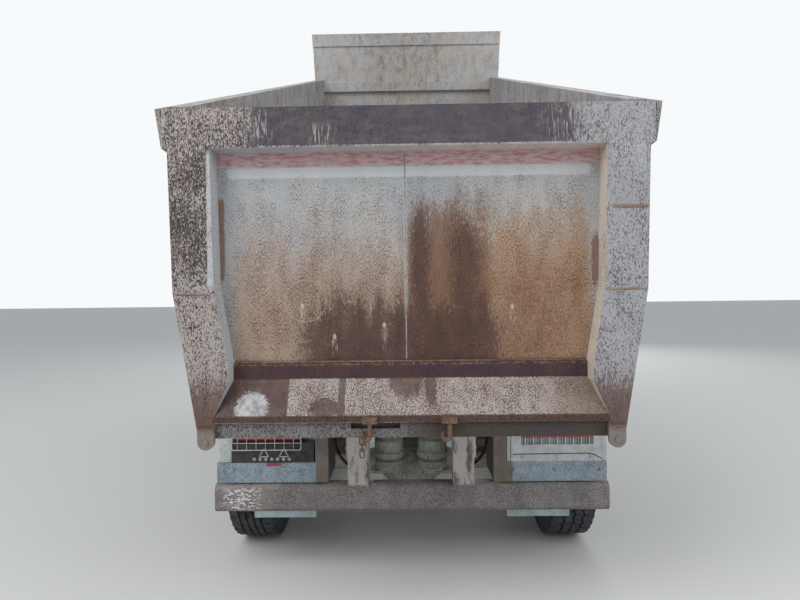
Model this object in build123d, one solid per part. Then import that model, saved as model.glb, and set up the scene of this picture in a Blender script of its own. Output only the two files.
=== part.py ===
from build123d import *
from math import asin, atan2, cos, degrees, hypot, radians, sin
import os

# Three-axle tipper with a rock bed, in millimetres. +Y is forward, +X is the truck's right, +Z is
# up. The origin is on the ground, on the centreline, midway between the tailgate's lugs and the
# front bumper. The bed stands tipped and its top-hung tailgate hangs plumb.

# Whole truck
WIDTH = 2500
FRONT_Y = 4300
SKIN_GAP = 6
SEAT_GAP = 0.3
RUN_FIT = 0.08

# Wheels and tyres
TYRE_R = 530
TYRE_W = 312
BEAD_R = 286
RIM_W = 244
FLANGE_UP = 12
RIM_WALL = 11
HUB_R = 150
SPINDLE_R = 45
HAND_HOLES = 8
HAND_HOLE_R = 26
TRACK_HALF = WIDTH / 2 - TYRE_W / 2
FRONT_AXLE_Y = 2900
MID_AXLE_Y = -1380
REAR_AXLE_Y = -2750

# Chassis rails, C sections with flanges turned inward
FRAME_HALF = 395
FRAME_TOP = 1020
FRAME_DEPTH = 280
FRAME_FLANGE = 85
FRAME_WEB = 9
FRAME_NOSE_Y = 4050
SUBFRAME_UP = 92
CROSS_TUBE_R = 50

# Tip hinge between chassis and bed
TILT = 22
TIP_Y = -3275
TIP_Z = 1090
TIP_PIN_R = 30
TIP_EAR_R = 60
TIP_EAR_T = 25
TIP_LUG_T = 30
TIP_LUG_R = 65

# Bed, in its own frame: u runs forward from its rear datum, n up from its floor
TIP_AHEAD = 250
FLOOR_OVER_TIP = 250
BED_LEN = 5400
BED_START = 24
BED_HALF = 1130
FLOOR_HALF = 1000
BEND_UP = 660
RAIL_TOP = 1600
RAIL_DEEP = 120
WALL = 8
FLOOR_T = 10
CORNER_R = 120
RIB_W = 80
RIB_OUT = 82
RIB_COUNT = 9
RIB_FIRST = 420
RIB_LAST = 5180
BEARER_DEEP = 80
BEAM_DEEP = 130
SILL_DEEP = 110

# Headboard and canopy
HEAD_TOP = 2170
HEAD_BAR = 150
HEAD_STIFF_N = 1450
HEAD_STIFF_H = 110
HEAD_STIFF_OUT = 60
CANOPY_LEN = 490

# Tailgate, hung on two pins at its top bar
GATE_U = -15
GATE_N = 1480
GATE_PIN_R = 20
EAR_T = 25
EAR_GAP = 10
EAR_BACK = 45
EAR_DROP = 110
BAR_UP = 95
BAR_DOWN = 105
GATE_BACK = 90
SKIN_V = 25
SKIN_T = 8
POST_TOP_X = 1190
POST_BEND_X = 1170
POST_FOOT_X = 1050
POST_IN_TOP = 980
POST_IN_BEND = 965
POST_IN_LOW = 900
POST_IN_LIP = 975
BEND_DOWN = 820
LEDGE_DOWN = 1182
LEDGE_H = 84
LEDGE_OUT = 20
LIP_DOWN = 1438
LIP_H = 29
LIP_OUT = 6
SILL_SET = 12
GATE_FOOT = 1543
TAB_X = 1006
TAB_R = 41
TAB_T = 25
TAB_DOWN = 50
TAB_UP = 60
TAB_PIN_R = 14
LUG_X = (-199, 192)
LUG_W = 75
LUG_OUT = 34
SLOT_X = (-295, -50)
SLOT_DOWN = 1478
SLOT_H = 44
SLOT_DEEP = 60

# Telescopic hoist between cab and headboard
HOIST_Y = 2380
HOIST_Z = 800
HOIST_U = BED_LEN + 440
HOIST_N = 925
HOIST_PIN_R = 32
HOIST_EYE_R = 62
HOIST_EYE_HALF = 60
STAGE_R = (118, 100, 83, 67, 52)
STAGE_WALL = 8
STAGE_FIT = 0.4
BARREL_FOOT = 90
BARREL_LEN = 1170
STAGE_STEP = 45
GLAND_LEN = 60
GLAND_OUT = 9
PISTON_LEN = 30
STAGE_SHIFT = 512.5
CRADLE_T = 24

# Rear underrun bar and lamps
BAR_FACE_Y = -3490
BAR_DEEP = 120
BAR_LOW = 400
BAR_H = 178
BAR_HALF = 1235
BAR_ROUND = 40
LEG_X = (265, 395)
LEG_TOP = 880
PANEL_IN = 600
PANEL_OUT = 1225
PANEL_LOW = 584
PANEL_TOP = 709
PLATE_T = 5
LAMP_TOP = 834
LAMP_DEEP = 60
GUARD_TOP = 872

# Bogie
SPRING_X = 545
SPRING_W = 90
SPRING_HUB = 120
SPRING_TIP = 34
CASING_R = 72
DIFF_R = 235
NOSE_R = 105
NOSE_LEN = 360
TAIL_R = 60
CHAMBER_R = 100
CHAMBER_X = 152
CHAMBER_LOW = 550
CHAMBER_H = 225
CHAMBER_SET = 310
ARM_X = 365
SHAFT_R = 45

# Front axle and steering
KINGPIN_X = 870
KINGPIN_R = 20
BOSS_R = 48
BOSS_H = 150
BEAM_H = 110
BEAM_W = 90
BEAM_DROP = 90
ARM_LEN = 200
ARM_T = 30
TIE_R = 18
TIE_DROP = 40

# Cab
CAB_HALF = 1200
CAB_BACK = 2550
CAB_FRONT = 4250
CAB_LOW = 1230
CAB_TOP = 2990
CAB_WALL = 60
CAB_FLOOR = 40
CAB_ROUND = 70
SCREEN_LOW = 2050
SCREEN_TOP = 2880
SCREEN_RAKE = 130
DOOR_BACK = 3004
DOOR_FRONT = 3954
DOOR_LOW = 1300
DOOR_TOP = 2840
SILL_Z = 1980
HINGE_R = 12
HINGE_X = CAB_HALF + HINGE_R + 2
HINGE_Y = DOOR_FRONT + SKIN_GAP / 2
DOOR_HINGES = (1500, 1840)
PANE_T = 6
PANE_FRAME = 80
PANE_R = 60
BUMPER_LOW = 380
BUMPER_TOP = 900
BUMPER_T = 40
BUMPER_ROUND = 110
LAMP_X = (820, 1080)
LAMP_Z = (560, 760)
GUARD_T = 5


def block(x, y, z):
    """Box between two limits on each axis."""
    size = [b - a for a, b in (x, y, z)]
    return Pos(*[(a + b) / 2 for a, b in (x, y, z)]) * Box(*size)


def plate_x(points, x):
    """Outline of (y, z) points, run along X between two limits."""
    face = Plane.YZ.offset(x[0]) * Polygon(*points, align=None)
    return extrude(face, x[1] - x[0], dir=(1, 0, 0))


def plate_y(points, y):
    """Outline of (x, z) points, run along Y between two limits."""
    face = Plane.XZ.offset(-y[0]) * Polygon(*points, align=None)
    return extrude(face, y[1] - y[0], dir=(0, 1, 0))


def rod_x(r, x, y, z):
    """Round bar along X."""
    return Pos((x[0] + x[1]) / 2, y, z) * Rot(0, 90, 0) * Cylinder(r, x[1] - x[0])


def rod_y(r, y, x, z):
    """Round bar along Y."""
    return Pos(x, (y[0] + y[1]) / 2, z) * Rot(90, 0, 0) * Cylinder(r, y[1] - y[0])


def rod_z(r, z, x, y):
    """Round bar along Z."""
    return Pos(x, y, (z[0] + z[1]) / 2) * Cylinder(r, z[1] - z[0])


def bar_between(r, a, b):
    """Round bar between two points."""
    start = Vector(*a)
    run = Vector(*b) - start
    return extrude(Plane(origin=start, z_dir=run) * Circle(r), run.length)


def both(shape):
    """A piece and its mirror image across the centreline."""
    return shape + mirror(shape, Plane.YZ)


def flip(points):
    """Right-hand outline closed by its mirror image."""
    return points + [(-x, z) for x, z in reversed(points)]


def ring(profile, x, y, z):
    """Revolve an (x, r) profile about a wheel's axis along X."""
    face = Plane.XY * Polygon(*profile, align=None)
    return Pos(x, y, z) * revolve(face, Axis.X)


def bed_point(u, n):
    """A point of the bed, given along and above its floor, with the bed lowered."""
    return TIP_Y - TIP_AHEAD + u, TIP_Z + FLOOR_OVER_TIP + n


def tipped(u, n):
    """The same point with the bed raised to its rest tilt."""
    y, z = bed_point(u, n)
    c, s = cos(radians(TILT)), sin(radians(TILT))
    dy, dz = y - TIP_Y, z - TIP_Z
    return TIP_Y + c * dy - s * dz, TIP_Z + s * dy + c * dz


def tip(shape):
    """Swing a piece of the lowered bed up to the rest tilt."""
    return shape.rotate(Axis((0, TIP_Y, TIP_Z), (1, 0, 0)), TILT)


def bed_box(x, u, n):
    """Box in the lowered bed's own frame."""
    y0, z0 = bed_point(u[0], n[0])
    y1, z1 = bed_point(u[1], n[1])
    return block(x, (y0, y1), (z0, z1))


def bed_plate_y(points, u):
    """Outline of (x, n) points across the lowered bed, run along its length."""
    y0, z0 = bed_point(u[0], 0)
    return plate_y([(x, z0 + n) for x, n in points], (y0, y0 + u[1] - u[0]))


def bed_plate_x(points, x):
    """Outline of (u, n) points along the lowered bed, run across it."""
    return plate_x([bed_point(u, n) for u, n in points], x)


GATE_Y, GATE_Z = tipped(GATE_U, GATE_N)
EYE_Y, EYE_Z = tipped(HOIST_U, HOIST_N)
HOIST_LEN = hypot(EYE_Y - HOIST_Y, EYE_Z - HOIST_Z)
HOIST_LEAN = degrees(atan2(HOIST_Y - EYE_Y, EYE_Z - HOIST_Z))
FRAME_END_Y = TIP_Y - 80
FRAME_LOW = FRAME_TOP - FRAME_DEPTH
BOGIE_Y = (MID_AXLE_Y + REAR_AXLE_Y) / 2
EAR_X = WIDTH / 2 - EAR_T
ARCH_R = CAB_LOW - TYRE_R - GUARD_T - SEAT_GAP
ENGINE_BACK = FRONT_AXLE_Y - 140


# Wheels

def tyre(side, y):
    half = TYRE_W / 2
    bead = RIM_W / 2 - FLANGE_UP
    line = [
        Line((-bead, BEAD_R + SEAT_GAP), (-bead, BEAD_R + 15)),
        ThreePointArc((-bead, BEAD_R + 15), (-half, TYRE_R - 125), (-half + 12, TYRE_R - 28)),
        Line((-half + 12, TYRE_R - 28), (-half + 30, TYRE_R - 4)),
        ThreePointArc((-half + 30, TYRE_R - 4), (0, TYRE_R), (half - 30, TYRE_R - 4)),
        Line((half - 30, TYRE_R - 4), (half - 12, TYRE_R - 28)),
        ThreePointArc((half - 12, TYRE_R - 28), (half, TYRE_R - 125), (bead, BEAD_R + 15)),
        Line((bead, BEAD_R + 15), (bead, BEAD_R + SEAT_GAP)),
        Line((bead, BEAD_R + SEAT_GAP), (-bead, BEAD_R + SEAT_GAP)),
    ]
    return Pos(side * TRACK_HALF, y, TYRE_R) * revolve(make_face(line), Axis.X)


def wheel(side, y, spindle_end, hub_out):
    """Steel disc wheel with hub and drum, bored for the spindle."""
    half = RIM_W / 2
    low = BEAD_R - 24
    barrel = [
        (-half, BEAD_R + FLANGE_UP),
        (-half + FLANGE_UP, BEAD_R + FLANGE_UP),
        (-half + FLANGE_UP, BEAD_R),
        (-60, BEAD_R - 3),
        (-40, low),
        (40, low),
        (60, BEAD_R - 3),
        (half - FLANGE_UP, BEAD_R),
        (half - FLANGE_UP, BEAD_R + FLANGE_UP),
        (half, BEAD_R + FLANGE_UP),
        (half, BEAD_R - RIM_WALL),
        (64, BEAD_R - RIM_WALL - 3),
        (44, low - RIM_WALL),
        (-44, low - RIM_WALL),
        (-64, BEAD_R - RIM_WALL - 3),
        (-half, BEAD_R - RIM_WALL),
    ]
    disc = [(20, low - 4), (42, low - 4), (78, 178), (78, HUB_R - 20), (62, HUB_R - 20), (62, 170)]
    drum = [(-150, 205), (10, 205), (62, HUB_R), (62, SPINDLE_R + RUN_FIT),
            (-40, SPINDLE_R + RUN_FIT), (-40, 190), (-150, 190)]
    nose = [(62, HUB_R), (hub_out, HUB_R - 30), (hub_out, 0), (spindle_end + 10, 0),
            (spindle_end + 10, SPINDLE_R + RUN_FIT), (62, SPINDLE_R + RUN_FIT)]
    solid = ring(barrel, 0, 0, 0) + ring(disc, 0, 0, 0) + ring(drum, 0, 0, 0) + ring(nose, 0, 0, 0)
    hole = Pos(50, 0, (low + HUB_R) / 2) * Rot(0, 90, 0) * Cylinder(HAND_HOLE_R, 80)
    for i in range(HAND_HOLES):
        solid -= Rot(360 * i / HAND_HOLES, 0, 0) * hole
    if side < 0:
        solid = mirror(solid, Plane.YZ)
    return Pos(side * TRACK_HALF, y, TYRE_R) * solid


HUB_OUT = 118
SPINDLE_END = 96


# Chassis

def chassis_frame():
    outer = FRAME_HALF
    inner = FRAME_HALF - FRAME_FLANGE
    web = FRAME_HALF - FRAME_WEB
    rail = block((inner, outer), (FRAME_END_Y, FRAME_NOSE_Y), (FRAME_LOW, FRAME_TOP))
    hollow = (FRAME_LOW + FRAME_WEB, FRAME_TOP - FRAME_WEB)
    rail -= block((inner - 1, web), (FRAME_END_Y - 1, FRAME_NOSE_Y + 1), hollow)
    sub_y = (TIP_Y + TIP_EAR_R + 60, HOIST_Y - 500)
    rail += block((inner, outer), sub_y, (FRAME_TOP, FRAME_TOP + SUBFRAME_UP))
    frame = both(rail)
    for y, z in (
        (TIP_Y, 950),
        (BOGIE_Y, 880),
        (-500, 880),
        (700, 880),
        (1750, 880),
        (3960, 880),
    ):
        frame += rod_x(CROSS_TUBE_R, (-web, web), y, z)
    return frame


def tip_brackets():
    """Clevis each side of the frame's end, with the tip pin through it."""
    x0 = FRAME_HALF
    ear_in = (x0, x0 + TIP_EAR_T)
    lug = (ear_in[1] + 5, ear_in[1] + 5 + TIP_LUG_T)
    ear_out = (lug[1] + 5, lug[1] + 5 + TIP_EAR_T)
    base_top = TIP_Z - TIP_LUG_R - 15
    y = (TIP_Y - 80, TIP_Y + 120)
    solid = block((ear_in[0], ear_out[1]), y, (base_top - 130, base_top))
    for ear in (ear_in, ear_out):
        solid += block(ear, (TIP_Y - TIP_EAR_R, TIP_Y + TIP_EAR_R), (base_top, TIP_Z))
        solid += rod_x(TIP_EAR_R, ear, TIP_Y, TIP_Z)
    solid += rod_x(TIP_PIN_R, (ear_in[0], ear_out[1] + 12), TIP_Y, TIP_Z)
    return both(solid)


def tip_lug_x():
    near = FRAME_HALF + TIP_EAR_T + 5
    return near, near + TIP_LUG_T


def rear_underrun():
    y = (BAR_FACE_Y, BAR_FACE_Y + BAR_DEEP)
    bar = block((-BAR_HALF, BAR_HALF), y, (BAR_LOW, BAR_LOW + BAR_H))
    bar = fillet(bar.edges().filter_by(Axis.X), BAR_ROUND)
    leg = block(LEG_X, y, (BAR_LOW + BAR_H - 30, LEG_TOP))
    leg -= block((LEG_X[0] + 12, LEG_X[1] - 12), (y[0] + 12, y[1] - 12), (BAR_LOW, LEG_TOP + 1))
    leg += block((FRAME_HALF, FRAME_HALF + 12), (y[0], TIP_Y + 200), (FRAME_LOW, LEG_TOP))
    foot = block((600, 990), (y[0] + 20, y[0] + 26), (BAR_LOW - 36, BAR_LOW + 10))
    return bar + both(leg) + both(foot)


def lamp_panels():
    y = BAR_FACE_Y + 20
    deep = BAR_DEEP - 20
    panel = block((PANEL_IN, PANEL_OUT), (y, y + PLATE_T), (PANEL_LOW, PANEL_TOP))
    panel += block((PANEL_IN, PANEL_OUT), (y, y + deep), (PANEL_TOP - PLATE_T, PANEL_TOP))
    panel += block((PANEL_IN, PANEL_OUT), (y + deep - PLATE_T, y + deep), (PANEL_TOP, GUARD_TOP))
    upright = block((520, PANEL_IN), (y, y + PLATE_T), (PANEL_LOW, GUARD_TOP))
    upright += block((520, 520 + PLATE_T), (y, TIP_Y + 150), (PANEL_LOW, GUARD_TOP))
    stay = rod_x(28, (FRAME_HALF + 12, 520), TIP_Y + 110, 800)
    return both(panel + upright + stay)


def tail_lamp_left():
    y = BAR_FACE_Y + 20
    lamp = block((-1130, -610), (y, y + LAMP_DEEP), (PANEL_TOP, LAMP_TOP))
    lens = block((-1130, -690), (y + 30, y + LAMP_DEEP + 30), (LAMP_TOP, GUARD_TOP - 6))
    return lamp + lens


def tail_lamp_right():
    y = BAR_FACE_Y + 20
    lamp = block((630, 1194), (y, y + LAMP_DEEP), (PANEL_TOP, GUARD_TOP))
    recess = block((694, 1144), (y - 1, y + 22), (812, GUARD_TOP - 8))
    lamp -= recess
    for i in range(9):
        x = 694 + 450 * (i + 0.5) / 9
        lamp += block((x - 4, x + 4), (y, y + 22), (812, GUARD_TOP - 8))
    return lamp


def drive_axle(y, nose):
    """Casing with differential, spindles at both ends and pinion nose."""
    arm = TRACK_HALF - 160
    half = [(0, DIFF_R), (110, DIFF_R - 30), (230, CASING_R + 25), (330, CASING_R), (arm, CASING_R),
            (arm, SPINDLE_R), (TRACK_HALF + SPINDLE_END, SPINDLE_R), (TRACK_HALF + SPINDLE_END, 0),
            (0, 0)]
    casing = both(ring(half, 0, y, TYRE_R))
    reach = (y, y + NOSE_LEN)
    casing += rod_y(NOSE_R, reach, 0, TYRE_R)
    if nose:
        casing += rod_y(TAIL_R, (y - DIFF_R - 40, y), 0, TYRE_R)
    return casing


def brake_chambers():
    cans = None
    for y in (REAR_AXLE_Y, MID_AXLE_Y):
        spot = y - CHAMBER_SET
        can = rod_z(CHAMBER_R, (CHAMBER_LOW, CHAMBER_LOW + CHAMBER_H), CHAMBER_X, spot)
        can = chamfer(can.edges(), 18)
        band_z = CHAMBER_LOW + CHAMBER_H / 2
        can += rod_z(CHAMBER_R + 8, (band_z - 14, band_z + 14), CHAMBER_X, spot)
        shelf = (CHAMBER_LOW - 20, CHAMBER_LOW)
        can += block((CHAMBER_X - 60, ARM_X + 25), (spot - 60, spot + 60), shelf)
        arm_y = (spot, y - CASING_R - SEAT_GAP)
        can += block((ARM_X - 25, ARM_X + 25), arm_y, (TYRE_R - 30, CHAMBER_LOW))
        pair = both(can)
        cans = pair if cans is None else cans + pair
    return cans


def rear_springs():
    x = (SPRING_X - SPRING_W / 2, SPRING_X + SPRING_W / 2)
    seat = TYRE_R + CASING_R + SEAT_GAP
    top = seat + 60
    leaf = [
        (REAR_AXLE_Y - 70, seat),
        (REAR_AXLE_Y + 70, seat),
        (BOGIE_Y, seat + 40),
        (MID_AXLE_Y - 70, seat),
        (MID_AXLE_Y + 70, seat),
        (MID_AXLE_Y + 70, seat + SPRING_TIP),
        (BOGIE_Y + 120, top + SPRING_HUB),
        (BOGIE_Y - 120, top + SPRING_HUB),
        (REAR_AXLE_Y - 70, seat + SPRING_TIP),
    ]
    pack = plate_x(leaf, x)
    saddle = block((FRAME_HALF, x[0]), (BOGIE_Y - 110, BOGIE_Y + 110), (seat + 60, FRAME_TOP - 60))
    return both(pack + saddle)


def prop_shafts():
    gear_y = HOIST_Y + 180
    main = bar_between(SHAFT_R, (0, MID_AXLE_Y + NOSE_LEN + 2, TYRE_R), (0, gear_y, 650))
    link_y = (REAR_AXLE_Y + NOSE_LEN, MID_AXLE_Y - DIFF_R - 40)
    link = rod_y(SHAFT_R, link_y, 0, TYRE_R)
    box = block((-170, 170), (gear_y, ENGINE_BACK - SEAT_GAP), (560, 900))
    return main + link + chamfer(box.edges().filter_by(Axis.Y), 50)


def engine_block():
    return block((-290, 290), (ENGINE_BACK, 3900), (600, 1180))


def front_axle():
    """Dropped beam with a kingpin boss at each end."""
    mid = TYRE_R - BEAM_DROP
    low, high = mid - BEAM_H / 2, mid + BEAM_H / 2
    line = flip([(0, low), (560, low), (720, TYRE_R - 55), (KINGPIN_X, TYRE_R - 55),
                 (KINGPIN_X, TYRE_R + 55), (680, TYRE_R + 55), (520, high), (0, high)][1:7])
    y = (FRONT_AXLE_Y - BEAM_W / 2, FRONT_AXLE_Y + BEAM_W / 2)
    beam = plate_y(line, y)
    boss = rod_z(BOSS_R, (TYRE_R - BOSS_H / 2, TYRE_R + BOSS_H / 2), KINGPIN_X, FRONT_AXLE_Y)
    beam += both(boss)
    hole = rod_z(KINGPIN_R + RUN_FIT, (TYRE_R - BOSS_H, TYRE_R + BOSS_H), KINGPIN_X, FRONT_AXLE_Y)
    pads = block((FRAME_HALF - FRAME_FLANGE, FRAME_HALF), y, (high, high + 60))
    return beam + both(pads) - both(hole)


def front_springs():
    x = (FRAME_HALF - FRAME_FLANGE, FRAME_HALF)
    seat = TYRE_R - BEAM_DROP + BEAM_H / 2 + 60
    span = 780
    leaf = [(FRONT_AXLE_Y - span, FRAME_LOW - 60), (FRONT_AXLE_Y - 80, seat),
            (FRONT_AXLE_Y + 80, seat), (FRONT_AXLE_Y + span, FRAME_LOW - 60),
            (FRONT_AXLE_Y + span, FRAME_LOW - 36), (FRONT_AXLE_Y + 80, seat + 70),
            (FRONT_AXLE_Y - 80, seat + 70), (FRONT_AXLE_Y - span, FRAME_LOW - 36)]
    pack = plate_x(leaf, x)
    for end in (-span, span - 60):
        y = FRONT_AXLE_Y + end
        pack += block(x, (y, y + 60), (FRAME_LOW - 60, FRAME_LOW))
    return both(pack)


def knuckle(side):
    """Steering knuckle: fork over the boss, kingpin, spindle and steering arm."""
    y = FRONT_AXLE_Y
    gap = BOSS_H / 2 + SEAT_GAP
    out = KINGPIN_X + BOSS_R + 12
    solid = block((out, out + 40), (y - 70, y + 70), (TYRE_R - gap - 35, TYRE_R + gap + 35))
    for z in ((TYRE_R + gap, TYRE_R + gap + 35), (TYRE_R - gap - 35, TYRE_R - gap)):
        solid += block((KINGPIN_X, out), (y - BOSS_R, y + BOSS_R), z)
        solid += rod_z(BOSS_R, z, KINGPIN_X, y)
    solid += rod_z(KINGPIN_R, (TYRE_R - gap - 35, TYRE_R + gap + 35), KINGPIN_X, y)
    solid += rod_x(SPINDLE_R, (out, TRACK_HALF + SPINDLE_END), y, TYRE_R)
    arm_z = (TYRE_R - gap - 35, TYRE_R - gap - 35 + ARM_T)
    solid += block((KINGPIN_X - 35, KINGPIN_X + 15), (y - ARM_LEN, y - BOSS_R + 5), arm_z)
    solid += rod_z(35, arm_z, KINGPIN_X - 10, y - ARM_LEN)
    return solid if side > 0 else mirror(solid, Plane.YZ)


def tie_rod():
    """Track rod under both steering arms."""
    y = FRONT_AXLE_Y - ARM_LEN
    arm_low = TYRE_R - BOSS_H / 2 - SEAT_GAP - 35
    z = arm_low - TIE_DROP
    x = KINGPIN_X - 10
    joint = rod_z(TIE_R + 6, (z - TIE_R - 6, arm_low - SEAT_GAP), x, y)
    return rod_x(TIE_R, (-x, x), y, z) + both(joint)


# Hoist

def lean(shape):
    """Set a hoist piece, drawn upright over the lower pin, to its lean."""
    return shape.rotate(Axis((0, HOIST_Y, HOIST_Z), (1, 0, 0)), HOIST_LEAN)


def hoist_tube(i):
    """Barrel (0) or stage, drawn with the stages shifted out to the rest length."""
    foot = BARREL_FOOT + 8 * i + STAGE_SHIFT * i
    head = BARREL_FOOT + BARREL_LEN + STAGE_STEP * i + STAGE_SHIFT * i
    r = STAGE_R[i]
    z0, z1 = HOIST_Z + foot, HOIST_Z + head
    tube = rod_z(r, (z0, z1), 0, HOIST_Y)
    if i < 4:
        tube += rod_z(r + GLAND_OUT - 3 * (i > 0), (z1 - 36, z1), 0, HOIST_Y)
        tube -= rod_z(r - STAGE_WALL, (z0 + 8, z1 - GLAND_LEN), 0, HOIST_Y)
        tube -= rod_z(STAGE_R[i + 1] + STAGE_FIT, (z0 + 8, z1 + 1), 0, HOIST_Y)
    if i > 0:
        tube += rod_z(STAGE_R[i - 1] - STAGE_WALL - STAGE_FIT, (z0, z0 + PISTON_LEN), 0, HOIST_Y)
        if i < 4:
            tube -= rod_z(r - STAGE_WALL, (z0 + 8, z0 + PISTON_LEN + 1), 0, HOIST_Y)
    return tube


def hoist_barrel():
    x = (-HOIST_EYE_HALF, HOIST_EYE_HALF)
    eye = rod_x(HOIST_EYE_R, x, HOIST_Y, HOIST_Z)
    eye += block(x, (HOIST_Y - 55, HOIST_Y + 55), (HOIST_Z, HOIST_Z + BARREL_FOOT + 4))
    eye -= rod_x(HOIST_PIN_R + RUN_FIT, (x[0] - 1, x[1] + 1), HOIST_Y, HOIST_Z)
    return lean(hoist_tube(0) + eye)


def hoist_stage(i):
    tube = hoist_tube(i)
    if i == 4:
        top = HOIST_Z + HOIST_LEN
        x = (-HOIST_EYE_HALF, HOIST_EYE_HALF)
        head = HOIST_Z + BARREL_FOOT + BARREL_LEN + 4 * (STAGE_STEP + STAGE_SHIFT)
        tube += rod_z(STAGE_R[4] - 4, (head - 1, top), 0, HOIST_Y)
        tube += rod_x(HOIST_EYE_R, x, HOIST_Y, top)
        tube -= rod_x(HOIST_PIN_R, (x[0] - 1, x[1] + 1), HOIST_Y, top)
    return lean(tube)


def hoist_cradle():
    """Cross plate under the rails, with two cheeks that hold the hoist's lower pin."""
    y = (HOIST_Y - 110, HOIST_Y + 110)
    top = HOIST_Z - HOIST_EYE_R - 8
    base = block((-FRAME_HALF, FRAME_HALF), y, (top - CRADLE_T, top))
    pad = block((FRAME_HALF - FRAME_FLANGE, FRAME_HALF), y, (top, FRAME_LOW))
    ear = (HOIST_EYE_HALF + 5, HOIST_EYE_HALF + 30)
    cheek = block(ear, (HOIST_Y - 60, HOIST_Y + 60), (top, HOIST_Z))
    cheek += rod_x(60, ear, HOIST_Y, HOIST_Z)
    pin = rod_x(HOIST_PIN_R, (-ear[1], ear[1]), HOIST_Y, HOIST_Z)
    return base + both(pad + cheek) + pin


# Bed

def trough(out, deep, top):
    """Bed cross-section, floor to rail, swelled by a wall's thickness."""
    return flip([(FLOOR_HALF + out, -deep), (BED_HALF + out, BEND_UP), (BED_HALF + out, top)])


def bed_shell():
    rail_low = RAIL_TOP - RAIL_DEEP
    solid = bed_plate_y(trough(WALL, FLOOR_T, rail_low), (BED_START, BED_LEN))
    solid -= bed_plate_y(trough(0, 0, rail_low + 1), (BED_START - 1, BED_LEN + 1))
    notch = (GATE_N - BAR_DOWN - 20, RAIL_TOP)
    solid -= bed_box((-WIDTH, WIDTH), (BED_START - 1, BED_START + 71), notch)
    return tip(solid)


def bed_rails():
    """Top rails with rear posts and the ears that the tailgate hangs from."""
    low = RAIL_TOP - RAIL_DEEP
    rail = bed_box((BED_HALF, WIDTH / 2), (BED_START + 71, BED_LEN), (low, RAIL_TOP))
    post_top = GATE_N - BAR_DOWN - 20
    wall = WALL
    post = [
        (FLOOR_HALF + wall, -FLOOR_T),
        (BED_HALF + wall, BEND_UP),
        (BED_HALF + wall, post_top),
        (WIDTH / 2, post_top),
        (WIDTH / 2, post_top - 60),
        (POST_TOP_X, BEND_UP),
        (POST_FOOT_X + 20, -FLOOR_T),
    ]
    rail += bed_plate_y(post, (BED_START, BED_START + 100))
    ear = [
        (GATE_U - EAR_BACK, RAIL_TOP),
        (BED_START + 100, RAIL_TOP),
        (BED_START + 100, post_top - 60),
        (BED_START, post_top - 60),
        (BED_START, GATE_N - EAR_DROP),
        (GATE_U - EAR_BACK, GATE_N - EAR_DROP + 40),
    ]
    rail += bed_plate_x(ear, (EAR_X, WIDTH / 2))
    y, z = bed_point(GATE_U, GATE_N)
    rail -= rod_x(GATE_PIN_R + RUN_FIT, (EAR_X - 1, WIDTH / 2 + 1), y, z)
    return tip(both(rail))


def rib_stations():
    step = (RIB_LAST - RIB_FIRST) / (RIB_COUNT - 1)
    return [RIB_FIRST + step * i for i in range(RIB_COUNT)]


def bed_ribs():
    low = RAIL_TOP - RAIL_DEEP
    line = [
        (FLOOR_HALF + WALL, -FLOOR_T),
        (BED_HALF + WALL, BEND_UP),
        (BED_HALF + WALL, low),
        (BED_HALF + RIB_OUT + 20, low),
        (BED_HALF + RIB_OUT, BEND_UP),
        (FLOOR_HALF + RIB_OUT, -FLOOR_T),
    ]
    ribs = None
    for u in rib_stations():
        rib = both(bed_plate_y(line, (u - RIB_W / 2, u + RIB_W / 2)))
        ribs = rib if ribs is None else ribs + rib
    return tip(ribs)


def bed_underframe():
    """Long beams, cross-bearers, rear sill and the lugs of the tip hinge."""
    under = -FLOOR_T
    beam_low = under - BEARER_DEEP - BEAM_DEEP
    inner = FRAME_HALF - FRAME_FLANGE
    solid = bed_box((inner, FRAME_HALF), (BED_START, BED_LEN - 60), (beam_low, under))
    x0, x1 = tip_lug_x()
    lug = [
        (TIP_AHEAD - 150, under),
        (TIP_AHEAD - TIP_LUG_R, -FLOOR_OVER_TIP),
        (TIP_AHEAD + TIP_LUG_R, -FLOOR_OVER_TIP),
        (TIP_AHEAD + 150, under),
    ]
    solid += bed_plate_x(lug, (x0, x1))
    solid += rod_x(TIP_LUG_R, (x0, x1), TIP_Y, TIP_Z)
    solid -= rod_x(TIP_PIN_R + RUN_FIT, (x0 - 1, x1 + 1), TIP_Y, TIP_Z)
    solid = both(solid)
    wide = (-FLOOR_HALF, FLOOR_HALF)
    solid += bed_box(wide, (BED_START, BED_START + 100), (under - SILL_DEEP, under))
    solid += bed_box(wide, (TIP_AHEAD - 60, TIP_AHEAD + 60), (under - SILL_DEEP, under))
    for u in rib_stations()[1:]:
        solid += bed_box(wide, (u - RIB_W / 2, u + RIB_W / 2), (under - BEARER_DEEP, under))
    return tip(solid)


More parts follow.
